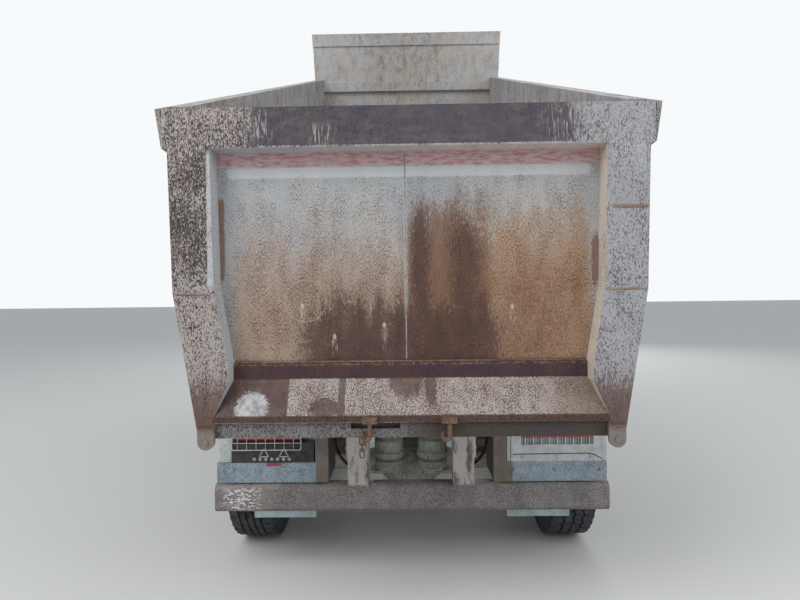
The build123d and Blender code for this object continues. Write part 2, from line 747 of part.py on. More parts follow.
def headboard():
    """Front wall with a raised full-width top, stiffeners and the hoist's upper ears."""
    edge = WIDTH / 2
    line = flip([
        (FLOOR_HALF + WALL, -FLOOR_T),
        (BED_HALF + WALL, BEND_UP),
        (BED_HALF + WALL, RAIL_TOP - RAIL_DEEP),
        (edge, RAIL_TOP - RAIL_DEEP),
        (edge, HEAD_TOP),
    ])
    solid = bed_plate_y(line, (BED_LEN, BED_LEN + WALL))
    inside = (BED_LEN - HEAD_STIFF_OUT, BED_LEN)
    stiff = (HEAD_STIFF_N, HEAD_STIFF_N + HEAD_STIFF_H)
    solid += bed_box((-BED_HALF, BED_HALF), inside, stiff)
    solid += bed_box((-edge, edge), (BED_LEN - 20, BED_LEN + 60), (HEAD_TOP - HEAD_BAR, HEAD_TOP))
    front = (BED_LEN + WALL, BED_LEN + WALL + 70)
    for x in (-800, -330, 330, 800):
        solid += bed_box((x - 45, x + 45), front, (0, HEAD_TOP - HEAD_BAR))
    ear = (HOIST_EYE_HALF + 24, HOIST_EYE_HALF + 46)
    line = [
        (BED_LEN + WALL, HOIST_N - 260),
        (HOIST_U - 20, HOIST_N - 70),
        (HOIST_U + 70, HOIST_N - 70),
        (HOIST_U + 70, HOIST_N + 70),
        (HOIST_U - 20, HOIST_N + 70),
        (BED_LEN + WALL, HOIST_N + 260),
    ]
    cheek = bed_plate_x(line, ear)
    y, z = bed_point(HOIST_U, HOIST_N)
    cheek += rod_x(HOIST_PIN_R, (HOIST_EYE_HALF + 4, ear[1] + 12), y, z)
    solid += both(cheek)
    return tip(solid)


def canopy():
    edge = WIDTH / 2
    u = (BED_LEN + 60, BED_LEN + 60 + CANOPY_LEN)
    solid = bed_box((-edge, edge), u, (HEAD_TOP - 6, HEAD_TOP))
    solid += bed_box((-edge, edge), (u[1] - 6, u[1]), (HEAD_TOP - 80, HEAD_TOP))
    side = [(u[0], HEAD_TOP - HEAD_BAR), (u[1], HEAD_TOP - 80), (u[1], HEAD_TOP), (u[0], HEAD_TOP)]
    for x in ((edge - 6, edge), (400, 406)):
        solid += both(bed_plate_x(side, x))
    return tip(solid)


# Tailgate, drawn hanging plumb below its pins

def gate_plate(points, v):
    """Outline of (x, w) points, w measured up from the pins, run between two depths."""
    return plate_y([(x, GATE_Z + w) for x, w in points], (GATE_Y + v[0], GATE_Y + v[1]))


def gate_frame():
    """Top bar, both side posts and the hinge pins."""
    bar_x = EAR_X - EAR_GAP
    deep = (-GATE_BACK, SKIN_V)
    bar = [(-bar_x, -BAR_DOWN), (bar_x, -BAR_DOWN), (bar_x, BAR_UP), (-bar_x, BAR_UP)]
    solid = gate_plate(bar, deep)
    post = [
        (POST_TOP_X, -BAR_DOWN),
        (POST_BEND_X, -BEND_DOWN),
        (POST_FOOT_X, -GATE_FOOT),
        (POST_IN_LIP, -GATE_FOOT),
        (POST_IN_LIP, -LIP_DOWN),
        (POST_IN_LOW, -LEDGE_DOWN - LEDGE_H),
        (POST_IN_LOW, -LEDGE_DOWN),
        (POST_IN_BEND, -BEND_DOWN + 20),
        (POST_IN_TOP, -BAR_DOWN),
    ]
    solid += both(gate_plate(post, deep))
    pin = rod_x(GATE_PIN_R, (bar_x, WIDTH / 2), GATE_Y, GATE_Z)
    return solid + both(pin)


def gate_panel():
    line = flip([
        (POST_FOOT_X, -GATE_FOOT),
        (POST_BEND_X, -BEND_DOWN),
        (POST_TOP_X, -BAR_DOWN),
        (POST_TOP_X, BAR_UP),
    ])
    return gate_plate(line, (SKIN_V, SKIN_V + SKIN_T))


def gate_sill():
    """Ledge, sloped plate, lip and lower plate between the posts."""
    top = -LEDGE_DOWN - LEDGE_H
    face = [
        (SKIN_V, -LEDGE_DOWN),
        (SKIN_V - LEDGE_OUT, -LEDGE_DOWN),
        (SKIN_V - LEDGE_OUT, top),
        (-GATE_BACK, -LIP_DOWN),
        (-GATE_BACK - LIP_OUT, -LIP_DOWN),
        (-GATE_BACK - LIP_OUT, -LIP_DOWN - LIP_H),
        (-GATE_BACK + SILL_SET, -LIP_DOWN - LIP_H),
        (-GATE_BACK + SILL_SET, -GATE_FOOT),
        (SKIN_V, -GATE_FOOT),
    ]
    solid = plate_x([(GATE_Y + v, GATE_Z + w) for v, w in face], (-POST_IN_LIP, POST_IN_LIP))
    solid -= gate_frame()
    slot_y = (GATE_Y - GATE_BACK, GATE_Y - GATE_BACK + SLOT_DEEP)
    slot_z = (GATE_Z - SLOT_DOWN - SLOT_H / 2, GATE_Z - SLOT_DOWN + SLOT_H / 2)
    return solid - block(SLOT_X, slot_y, slot_z)


def gate_fittings():
    """Latch tabs on the feet of the posts, and the lugs with hooks on the lip."""
    y = GATE_Y - GATE_BACK
    foot = GATE_Z - GATE_FOOT
    eye = foot - TAB_DOWN + TAB_R
    tab = block((TAB_X - TAB_R, TAB_X + TAB_R), (y - TAB_T, y), (eye, foot + TAB_UP))
    tab += rod_y(TAB_R, (y - TAB_T, y), TAB_X, eye)
    tab += rod_y(TAB_PIN_R, (y - TAB_T - 12, y), TAB_X, eye)
    solid = both(tab)
    face = GATE_Y - GATE_BACK - LIP_OUT
    lip = GATE_Z - LIP_DOWN
    for x in LUG_X:
        lug = block((x - LUG_W / 2, x + LUG_W / 2), (face - LUG_OUT, face), (lip - LIP_H, lip))
        solid += lug + rod_z(12, (lip - LIP_H - 60, lip), x, face - LUG_OUT / 2)
    return solid


# Cab

def cab_profile(inset):
    """Cab outline from the side, inset by a wall."""
    i = inset
    rake = SCREEN_RAKE
    return [
        (CAB_BACK + i, CAB_LOW + (CAB_FLOOR if i else 0)),
        (CAB_FRONT - i, CAB_LOW + (CAB_FLOOR if i else 0)),
        (CAB_FRONT - i, SCREEN_LOW),
        (CAB_FRONT - rake - i, SCREEN_TOP),
        (CAB_FRONT - rake - 160 - i, CAB_TOP - i),
        (CAB_BACK + 100 + i, CAB_TOP - i),
        (CAB_BACK + i, CAB_TOP - 110),
    ]


def pane(points, x, shrink):
    """Rounded window outline of (y, z) corners, run along X."""
    (y0, z0), (y1, z1) = points
    face = Plane.YZ.offset(x[0]) * Pos((y0 + y1) / 2, (z0 + z1) / 2)
    face *= RectangleRounded(y1 - y0 - 2 * shrink, z1 - z0 - 2 * shrink, PANE_R - shrink)
    return extrude(face, x[1] - x[0])


DOOR_PANE = ((DOOR_BACK + PANE_FRAME, SILL_Z), (DOOR_FRONT - PANE_FRAME, DOOR_TOP - PANE_FRAME))
SCREEN_HALF = CAB_HALF - 130


def screen(half, low, high, deep):
    """Slab along the raked windscreen, between two depths behind its outer face."""
    run = hypot(SCREEN_RAKE, SCREEN_TOP - SCREEN_LOW)
    frame = Plane(
        origin=(0, CAB_FRONT, SCREEN_LOW),
        x_dir=(-1, 0, 0),
        z_dir=(0, SCREEN_TOP - SCREEN_LOW, SCREEN_RAKE),
    )
    face = frame.offset(-deep[1]) * Pos(0, run / 2 + (low - high) / 2)
    face *= RectangleRounded(2 * half, run - low - high, PANE_R)
    return extrude(face, deep[1] - deep[0])


def rear_pane(half, y):
    face = Plane.XZ.offset(-y[1]) * Pos(0, (SILL_Z + 2650) / 2)
    face *= RectangleRounded(2 * half, 2650 - SILL_Z, PANE_R)
    return extrude(face, y[1] - y[0])


def cab_shell():
    outer = plate_x(cab_profile(0), (-CAB_HALF, CAB_HALF))
    inner = plate_x(cab_profile(CAB_WALL), (CAB_WALL - CAB_HALF, CAB_HALF - CAB_WALL))
    shell = outer - inner
    hole = block(
        (0, CAB_HALF + 1),
        (DOOR_BACK - SKIN_GAP, DOOR_FRONT + SKIN_GAP),
        (DOOR_LOW - SKIN_GAP, DOOR_TOP + SKIN_GAP),
    )
    shell -= both(hole)
    shell -= screen(SCREEN_HALF, 60, 60, (-20, CAB_WALL + 60))
    return shell - rear_pane(800, (CAB_BACK - 1, CAB_BACK + CAB_WALL + 1))


def door(side):
    x = (CAB_HALF - CAB_WALL, CAB_HALF)
    leaf = block(x, (DOOR_BACK, DOOR_FRONT), (DOOR_LOW, DOOR_TOP))
    leaf -= pane(DOOR_PANE, (x[0] - 1, x[1] + 1), 0)
    leaf += block((x[1], x[1] + 22), (DOOR_BACK + 60, DOOR_BACK + 220), (SILL_Z - 170, SILL_Z - 130))
    for z in DOOR_HINGES:
        leaf += rod_z(HINGE_R, (z - 40, z + 40), HINGE_X, HINGE_Y)
        leaf += block((CAB_HALF, HINGE_X), (DOOR_FRONT - 90, DOOR_FRONT), (z - 30, z + 30))
    return leaf if side > 0 else mirror(leaf, Plane.YZ)


def door_glass(side):
    x = CAB_HALF - CAB_WALL / 2
    glass = pane(DOOR_PANE, (x - PANE_T / 2, x + PANE_T / 2), SEAT_GAP)
    return glass if side > 0 else mirror(glass, Plane.YZ)


def cab_glass():
    front = screen(SCREEN_HALF - SEAT_GAP, 60 + SEAT_GAP, 60 + SEAT_GAP, (20, 20 + PANE_T))
    y = CAB_BACK + CAB_WALL / 2
    return front + rear_pane(800 - SEAT_GAP, (y - PANE_T / 2, y + PANE_T / 2))


def grille():
    y = (CAB_FRONT, CAB_FRONT + 25)
    solid = block((-900, 900), y, (CAB_LOW + 30, SCREEN_LOW - 150))
    solid -= block((-840, 840), (y[0] - 1, y[1] + 1), (CAB_LOW + 80, SCREEN_LOW - 200))
    low, high = CAB_LOW + 80, SCREEN_LOW - 200
    for i in range(7):
        z = low + (high - low) * (i + 0.5) / 7
        solid += block((-850, 850), (y[0], y[1] - 6), (z - 22, z + 22))
    return solid


def bumper():
    """Wrapped front bumper on two brackets from the frame's nose."""
    y = (FRONT_Y - 260, FRONT_Y)
    solid = block((-WIDTH / 2, WIDTH / 2), y, (BUMPER_LOW, BUMPER_TOP))
    solid = fillet(solid.edges().filter_by(Axis.Z).group_by(Axis.Y)[-1], BUMPER_ROUND)
    x = WIDTH / 2 - BUMPER_T
    hollow = block((-x, x), (y[0] - 1, y[1] - BUMPER_T), (BUMPER_LOW - 1, BUMPER_TOP + 1))
    round_in = BUMPER_ROUND - BUMPER_T
    solid -= fillet(hollow.edges().filter_by(Axis.Z).group_by(Axis.Y)[-1], round_in)
    lamp_y = (y[1] - BUMPER_T - 1, y[1] + 1)
    solid -= both(block(LAMP_X, lamp_y, LAMP_Z))
    arm_x = (FRAME_HALF - FRAME_FLANGE, FRAME_HALF)
    arm = block(arm_x, (FRAME_NOSE_Y, y[1] - BUMPER_T), (FRAME_LOW, FRAME_LOW + 120))
    return solid + both(arm)


def headlamps():
    lamp = block(LAMP_X, (FRONT_Y - BUMPER_T, FRONT_Y - 8), LAMP_Z)
    return both(lamp)


def cab_lower():
    """Front skirt and step wells ahead of the wheels."""
    skirt = block((-CAB_HALF, CAB_HALF), (CAB_FRONT - 40, CAB_FRONT), (900, CAB_LOW))
    well = block((CAB_HALF - 260, CAB_HALF), (3620, CAB_FRONT - 40), (420, CAB_LOW))
    well -= block((CAB_HALF - 200, CAB_HALF + 1), (3660, CAB_FRONT - 100), (460, 780))
    well -= block((CAB_HALF - 200, CAB_HALF + 1), (3660, CAB_FRONT - 100), (820, CAB_LOW - 40))
    return skirt + both(well)


def arch(y, r, x, low):
    """Mudguard: part of a ring over a wheel."""
    guard = rod_x(r + GUARD_T, x, y, TYRE_R) - rod_x(r, (x[0] - 1, x[1] + 1), y, TYRE_R)
    return guard - block((x[0] - 2, x[1] + 2), (y - 2 * r, y + 2 * r), (-400, low))


def front_mudguards():
    return both(arch(FRONT_AXLE_Y, ARCH_R, (930, CAB_HALF), 700))


def rear_mudguards():
    x = (920, WIDTH / 2)
    guard = arch(REAR_AXLE_Y, 600, x, 760) + arch(MID_AXLE_Y, 600, x, 760)
    stay = rod_x(22, (FRAME_HALF, 920), REAR_AXLE_Y, TYRE_R + 590)
    stay += rod_x(22, (FRAME_HALF, 920), MID_AXLE_Y, TYRE_R + 590)
    stay += block((FRAME_HALF, FRAME_HALF + 40), (REAR_AXLE_Y - 22, REAR_AXLE_Y + 22), (900, 1120))
    stay += block((FRAME_HALF, FRAME_HALF + 40), (MID_AXLE_Y - 22, MID_AXLE_Y + 22), (900, 1120))
    return both(guard + stay)


def fuel_tank():
    tank = block((FRAME_HALF + 60, 1130), (1050, 2100), (520, 1000))
    tank = fillet(tank.edges().filter_by(Axis.Y), 90)
    for y in (1200, 1900):
        tank += block((FRAME_HALF, FRAME_HALF + 70), (y, y + 60), (600, 980))
    return tank


def equipment_box():
    box = block((-1130, -FRAME_HALF - 60), (1350, 2100), (560, 1000))
    box = fillet(box.edges().filter_by(Axis.Z), 40)
    box += rod_y(130, (500, 1280), -800, 800) + block((-810, -790), (1270, 1360), (780, 820))
    for y in (1450, 1900):
        box += block((-FRAME_HALF - 70, -FRAME_HALF), (y, y + 60), (600, 980))
    return box


def silencer():
    can = rod_y(190, (0, 850), 760, 760)
    return can + block((FRAME_HALF, 600), (380, 440), (740, 800))


def seats():
    seat = block((300, 800), (2760, 3260), (1650, 1780))
    seat = fillet(seat.edges(), 40)
    back = block((310, 790), (2700, 2830), (1780 + SEAT_GAP, 2480))
    back = fillet(back.edges(), 40)
    base = block((360, 740), (2820, 3200), (CAB_LOW + CAB_FLOOR, 1650))
    shelf = block((360, 740), (2640, 2759), (1600, 1780))
    base += shelf + block((400, 700), (2700, 2900), (1600, 1649))
    return both(seat + back + base)


def dashboard():
    line = [(3980, 1500), (CAB_FRONT - CAB_WALL, 1500), (CAB_FRONT - CAB_WALL, 1960),
            (4060, 1980), (3900, 1900), (3900, 1700)]
    dash = plate_x(line, (CAB_WALL - CAB_HALF, CAB_HALF - CAB_WALL))
    return dash


def steering_wheel():
    place = Pos(-550, 3640, 1980) * Rot(42, 0, 0)
    wheel_top = place * (Torus(225, 16) + Cylinder(50, 36) + Box(440, 36, 14))
    column = place * Pos(0, 0, -220) * Cylinder(28, 440)
    return wheel_top + column - dashboard()


def mirrors():
    arm = rod_x(14, (CAB_HALF, 1330), 4060, 2700) + rod_x(14, (CAB_HALF, 1330), 4060, 2300)
    head = block((1290, 1450), (4040, 4110), (2260, 2740))
    head = fillet(head.edges(), 20)
    return both(arm + head)


nodes = {
    "chassis_frame": chassis_frame() + tip_brackets(),
    "rear_underrun": rear_underrun(),
    "lamp_panels": lamp_panels(),
    "tail_lamp_left": tail_lamp_left(),
    "tail_lamp_right": tail_lamp_right(),
    "rear_axle": drive_axle(REAR_AXLE_Y, False),
    "middle_axle": drive_axle(MID_AXLE_Y, True),
    "brake_chambers": brake_chambers(),
    "leaf_springs": rear_springs() + front_springs(),
    "prop_shafts": prop_shafts(),
    "engine_block": engine_block(),
    "front_axle": front_axle(),
    "knuckle_left": knuckle(-1),
    "knuckle_right": knuckle(1),
    "tie_rod": tie_rod(),
    "hoist_cradle": hoist_cradle(),
    "hoist_barrel": hoist_barrel(),
    "bed_shell": bed_shell(),
    "bed_rails": bed_rails(),
    "bed_ribs": bed_ribs(),
    "bed_underframe": bed_underframe(),
    "headboard": headboard() + canopy(),
    "gate_frame": gate_frame(),
    "gate_panel": gate_panel(),
    "gate_sill": gate_sill(),
    "gate_fittings": gate_fittings(),
    "cab_shell": cab_shell(),
    "cab_glass": cab_glass(),
    "cab_lower": cab_lower(),
    "door_left": door(-1),
    "door_right": door(1),
    "door_glass_left": door_glass(-1),
    "door_glass_right": door_glass(1),
    "grille": grille(),
    "bumper": bumper(),
    "headlamps": headlamps(),
    "mudguards": front_mudguards() + rear_mudguards(),
    "fuel_tank": fuel_tank(),
    "equipment_box": equipment_box(),
    "silencer": silencer(),
    "seats": seats(),
    "dashboard": dashboard(),
    "steering_wheel": steering_wheel(),
    "mirrors": mirrors(),
}
for stage in (1, 2, 3, 4):
    nodes["hoist_stage_" + str(stage)] = hoist_stage(stage)
for name, y in (("front", FRONT_AXLE_Y), ("middle", MID_AXLE_Y), ("rear", REAR_AXLE_Y)):
    tyres = tyre(-1, y), tyre(1, y)
    rims = wheel(-1, y, SPINDLE_END, HUB_OUT), wheel(1, y, SPINDLE_END, HUB_OUT)
    for i, side in enumerate(("left", "right")):
        nodes["tyre_" + name + "_" + side] = tyres[i]
        nodes["rim_" + name + "_" + side] = rims[i]

os.makedirs("parts", exist_ok=True)
for name, shape in nodes.items():
    export_step(shape, "parts/" + name + ".step")
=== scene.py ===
import math

import bmesh
import bpy
from mathutils import Matrix, Vector


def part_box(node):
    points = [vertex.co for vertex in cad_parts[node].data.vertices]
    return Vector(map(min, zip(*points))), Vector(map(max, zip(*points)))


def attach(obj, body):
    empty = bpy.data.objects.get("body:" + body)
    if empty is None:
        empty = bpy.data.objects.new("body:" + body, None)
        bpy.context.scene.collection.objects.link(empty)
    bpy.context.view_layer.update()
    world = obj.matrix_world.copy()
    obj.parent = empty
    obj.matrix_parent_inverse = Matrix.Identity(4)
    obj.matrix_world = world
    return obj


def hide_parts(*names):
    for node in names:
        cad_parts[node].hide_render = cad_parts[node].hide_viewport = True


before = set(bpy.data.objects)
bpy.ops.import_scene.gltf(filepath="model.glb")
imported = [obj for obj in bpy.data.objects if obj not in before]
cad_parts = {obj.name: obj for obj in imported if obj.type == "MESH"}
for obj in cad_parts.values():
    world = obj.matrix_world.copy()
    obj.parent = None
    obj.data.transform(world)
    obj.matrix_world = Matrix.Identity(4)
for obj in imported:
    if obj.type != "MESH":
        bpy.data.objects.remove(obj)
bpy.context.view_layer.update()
MM = 0.001


def node_box(node):
    """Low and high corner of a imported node, in metres."""
    low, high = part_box(node)
    return Vector(low), Vector(high)


GATE_LOW, GATE_HIGH = node_box("gate_frame")
PANEL_LOW, PANEL_HIGH = node_box("gate_panel")
SILL_TOP = node_box("gate_sill")[1].z

# Worn patches, and the recess whose inner faces get painted light and shade, in metres: x range, z range,
# softness in x and in z
PATCHES = {
    "post_runs": ((-1.2, -1.03), (1.9, 2.48), 0.02, 0.1),
    "post_seam_left": ((-1.14, -1.0), (1.762, 1.774), 0.01, 0.003),
    "post_seam_right": ((0.96, 1.13), (1.768, 1.78), 0.01, 0.003),
    "doubler_foot": ((1.0, 1.2), (2.168, 2.186), 0.01, 0.004),
    "bar_rubbed": ((-0.78, 0.83), (GATE_HIGH.z - 0.192, GATE_HIGH.z + 0.1), 0.2, 0.004),
    "bar_white_left": ((-0.80, -0.68), (2.52, 2.66), 0.03, 0.04),
    "bar_white_middle": ((-0.47, -0.37), (2.5, 2.6), 0.03, 0.03),
    "bar_white_right": ((0.7, 0.95), (2.5, 2.68), 0.1, 0.04),
    "recess": ((-1.05, 1.05), (1.0, GATE_HIGH.z - 0.18), 0.004, 0.004),
    "recess_rim": ((-0.995, -0.95), (1.8, 2.47), 0.004, 0.02),
    "skin_seam": ((-0.024, -0.006), (1.7, 2.5), 0.006, 0.1),
    "skin_pale_band": ((-0.93, 0.93), (2.36, 2.415), 0.03, 0.02),
    "skin_red_stripe": ((-1.1, 1.1), (2.418, PANEL_HIGH.z + 0.1), 0.01, 0.004),
    "skin_streak": ((-1.0, -0.945), (1.84, 2.26), 0.012, 0.05),
    "skin_marks": ((0.93, 0.975), (1.80, 2.06), 0.02, 0.05),
    "sill_bare": ((-1.0, -0.612), (1.15, 1.4), 0.004, 0.02),
    "sill_strip": ((-0.36, -0.325), (1.1, 1.4), 0.01, 0.1),
    "sill_blue": ((0.6, 0.78), (0.9, 1.2), 0.05, 0.01),
    "bar_flakes": ((-1.17, -0.96), (0.4, 0.55), 0.05, 0.02),
    "leg_left": ((-0.61, -0.52), (0.57, 0.9), 0.01, 0.01),
    "leg_right": ((0.54, 0.64), (0.57, 0.9), 0.01, 0.01),
    "rail_end_left": ((-0.4, -0.22), (0.57, 0.9), 0.004, 0.01),
    "rail_end_right": ((0.26, 0.42), (0.57, 0.9), 0.004, 0.01),
}

# Worn ovals, in metres: centre (x, z), radii, softness as a share
OVALS = {
    "skin_orange": ((0.62, 1.62), (0.2, 0.3), 0.8),
    "skin_arc": ((-0.53, 1.73), (0.11, 0.11), 0.03),
    "skin_arc_inside": ((-0.53, 1.73), (0.103, 0.103), 0.03),
    "sill_stain": ((-0.43, 1.2), (0.08, 0.045), 0.6),
    "sill_top_stain": ((-0.02, 1.33), (0.09, 0.09), 0.6),
    "sill_drip": ((0.105, 1.3), (0.03, 0.1), 0.6),
    "sill_white": ((-0.79, 1.2), (0.08, 0.075), 0.5),
}

# Runs that hang on the skin: x range, softness, heights where a run fades in and is full
RUNS = {
    "worn_middle": (0.0, 0.42, 0.08, 2.45, 1.95),
    "column_left": (0.0, 0.12, 0.05, 2.46, 2.0),
    "column_right": (0.2, 0.38, 0.08, 2.42, 1.95),
    "bottom": (-0.55, 0.47, 0.16, 1.95, 1.5),
}

# White weeps on the skin: centre (x, z), size of the drop and of its tail
WEEPS = (-0.547, 1.704), (-0.383, 1.546), (-0.128, 1.602), (0.527, 1.689)
WEEP_DROP, WEEP_TAIL = (0.008, 0.013), (0.02, 0.08)

LEDGE_LOW, LIP_Z = 1.334, (1.13, 1.163)


# Shader helpers

def paint(hex_value):
    """sRGB hex to the linear colour that the shader takes."""
    parts = [int(hex_value[i:i + 2], 16) / 255 for i in (1, 3, 5)]
    return tuple(c / 12.92 if c < 0.04045 else ((c + 0.055) / 1.055) ** 2.4 for c in parts) + (1,)


def put(tree, kind, inputs=(), out=0, **settings):
    """Add one node with its settings, feed its inputs with values or links, and give an output."""
    node = tree.nodes.new("ShaderNode" + kind)
    for name, value in settings.items():
        setattr(node, name, value)
    for key, value in inputs.items() if isinstance(inputs, dict) else enumerate(inputs):
        if isinstance(value, bpy.types.NodeSocket):
            tree.links.new(value, node.inputs[key])
        elif value is not None:
            node.inputs[key].default_value = value
    return node.outputs[out]


def shader_inputs(mat):
    """The inputs of a material's shader."""
    return mat.node_tree.nodes["Principled BSDF"].inputs


def surface(name, roughness, metallic=0.0, more=()):
    """A material with a bare shader, and its tree; more holds pairs of an input and its value."""
    mat = bpy.data.materials.new(name)
    mat.use_nodes = True
    for key, value in (("Roughness", roughness), ("Metallic", metallic), *more):
        shader_inputs(mat)[key].default_value = value
    return mat, mat.node_tree


def own_place(tree):
    """The surface point in the object's own frame, in metres."""
    return put(tree, "TexCoord", out="Object")


def wear_noise(tree, grain_mm, tall=1.0, detail=4, rough=0.6, shift=0.0):
    """Noise whose blots are grain_mm wide and tall times as high, on the object's own place."""
    scale = 1 / (grain_mm * MM)
    sized = put(tree, "Mapping", {"Vector": own_place(tree), "Location": (shift, shift, shift),
                                  "Scale": (scale, scale, scale / tall)})
    return put(tree, "TexNoise", {"Vector": sized, "Scale": 1.0, "Detail": detail, "Roughness": rough})


def ramp(tree, value, low, high, to_low=0.0, to_high=1.0):
    """Smooth step from low to high, which may run downward."""
    return put(tree, "MapRange", (value, low, high, to_low, to_high), interpolation_type="SMOOTHSTEP")


def blend(tree, amount, a, b):
    """Colour between a and b, each a link or sRGB hex, on the mix node's sockets 6 and 7."""
    a, b = (paint(c) if isinstance(c, str) else c for c in (a, b))
    return put(tree, "Mix", {0: amount, 6: a, 7: b}, out=2, data_type="RGBA")


def lay(tree, under, mask, share, over):
    """A film over a colour, where a mask is, with the film's share."""
    return blend(tree, times(tree, mask, share), under, over)


def blend_value(tree, amount, a, b):
    """Number between a and b, on the mix node's sockets 2 and 3."""
    return put(tree, "Mix", {0: amount, 2: a, 3: b})


def calc(tree, how, a, b=0.0):
    """One step of arithmetic on a or on a and b."""
    return put(tree, "Math", (a, b), operation=how)


def times(tree, a, b):
    """Product, mostly of a mask and its strength."""
    return calc(tree, "MULTIPLY", a, b)


def place_axis(tree, axis):
    """Side (0), length (1) or height (2) of the surface point, in metres."""
    return put(tree, "SeparateXYZ", (own_place(tree),), out=axis)


def facing(tree, axis):
    """How far the surface faces along an axis."""
    return put(tree, "SeparateXYZ", (put(tree, "NewGeometry", out="Normal"),), out=axis)


def any_of(tree, *masks):
    """The strongest of several masks."""
    total = masks[0]
    for mask in masks[1:]:
        total = calc(tree, "MAXIMUM", total, mask)
    return total


def spot(tree, centre, radius, soft=0.6):
    """Soft oval about (x, z), with its radii in metres."""
    dx = calc(tree, "DIVIDE", calc(tree, "SUBTRACT", place_axis(tree, 0), centre[0]), radius[0])
    dz = calc(tree, "DIVIDE", calc(tree, "SUBTRACT", place_axis(tree, 2), centre[1]), radius[1])
    far = calc(tree, "SQRT", calc(tree, "ADD", times(tree, dx, dx), times(tree, dz, dz)))
    return ramp(tree, far, 1 + soft, 1 - soft)


def span(tree, axis, low, high, soft):
    """Soft-edged stretch between two positions on one axis."""
    at = place_axis(tree, axis)
    return times(tree, ramp(tree, at, low - soft, low + soft), ramp(tree, at, high + soft, high - soft))


def area(tree, x, z, soft_x, soft_z):
    """Soft-edged rectangle in x and z."""
    return times(tree, span(tree, 0, *x, soft_x), span(tree, 2, *z, soft_z))


def patch(tree, *names):
    """Any of the named worn patches and ovals."""
    return any_of(tree, *(area(tree, *PATCHES[name]) if name in PATCHES else spot(tree, *OVALS[name])
                          for name in names))


def hanging(tree, height, name):
    """A named run on the skin, over the surface's height with its drift."""
    left, right, soft, start, full = RUNS[name]
    return times(tree, span(tree, 0, left, right, soft), ramp(tree, height, start, full))


def across(tree, left, right, a, b):
    """Colour a up to one position from side to side, colour b beyond the other."""
    return blend(tree, ramp(tree, place_axis(tree, 0), left, right), a, b)


def feather(tree, mask, wide_mm=14, tall=8, reach=2.2, shift=0.0):
    """Break a soft mask's edge into runs: tall ones where water ran, round ones where tall is 1."""
    run = calc(tree, "SUBTRACT", wear_noise(tree, wide_mm, tall, detail=4, rough=0.7, shift=shift), 0.5)
    return ramp(tree, calc(tree, "ADD", mask, times(tree, run, reach)), 0.3, 0.7)


def stipple(tree, mask, grain_mm=6, tall=3.0, spread=0.4, shift=0.0):
    """Soft film that breaks into specks and thins out towards its edge."""
    grain = wear_noise(tree, grain_mm, tall, detail=3, rough=0.65, shift=shift)
    push = times(tree, calc(tree, "SUBTRACT", mask, 0.5), spread)
    specks = ramp(tree, calc(tree, "ADD", grain, push), 0.42, 0.58)
    return blend_value(tree, 0.6, mask, specks)


def tone_of(tree, a, b, grain_mm=260, tall=1.5, shift=0.0):
    """Two paint colours drifting into each other."""
    drift = ramp(tree, wear_noise(tree, grain_mm, tall, shift=shift), 0.35, 0.65)
    return blend(tree, drift, a, b)


def chipped(tree, base, chip, amount, grain_mm=4.5, tall=2.4, shift=0.0, hard=0.05):
    """Base colour with stone chips: streaky specks that cover about the given share."""
    fine = wear_noise(tree, grain_mm, tall, detail=2, rough=0.6, shift=shift)
    wide = wear_noise(tree, grain_mm * 22, 2.2, detail=2, shift=shift + 3)
    level = calc(tree, "ADD", fine, times(tree, calc(tree, "SUBTRACT", wide, 0.5), 0.3))
    cut = calc(tree, "SUBTRACT", 0.72, times(tree, amount, 0.44))
    low, high = calc(tree, "SUBTRACT", cut, hard), calc(tree, "ADD", cut, hard)
    specks = put(tree, "MapRange", (level, low, high, 0.0, 1.0))
    return blend(tree, specks, base, chip), specks


def dress(mat, colour, specks, rough=(0.5, 0.85), bump_mm=0.6):
    """Feed colour, roughness and bump to the shader; chips lie lower than the paint."""
    tree, feed = mat.node_tree, shader_inputs(mat)
    lump = calc(tree, "SUBTRACT", wear_noise(tree, 30, 1.5, detail=6), times(tree, specks, 0.35))
    bump = put(tree, "Bump", {"Strength": 0.45, "Distance": bump_mm * MM, "Height": lump})
    tree.links.new(colour, feed["Base Color"])
    tree.links.new(ramp(tree, specks, 0, 1, *rough), feed["Roughness"])
    tree.links.new(bump, feed["Normal"])
    return mat


def dull_film(tree, a, b, grain_mm):
    """Purple-brown mill rust that drifts between two colours."""
    return tone_of(tree, a, b, grain_mm, 1.6, shift=4)


# Weathered steel of the tailgate

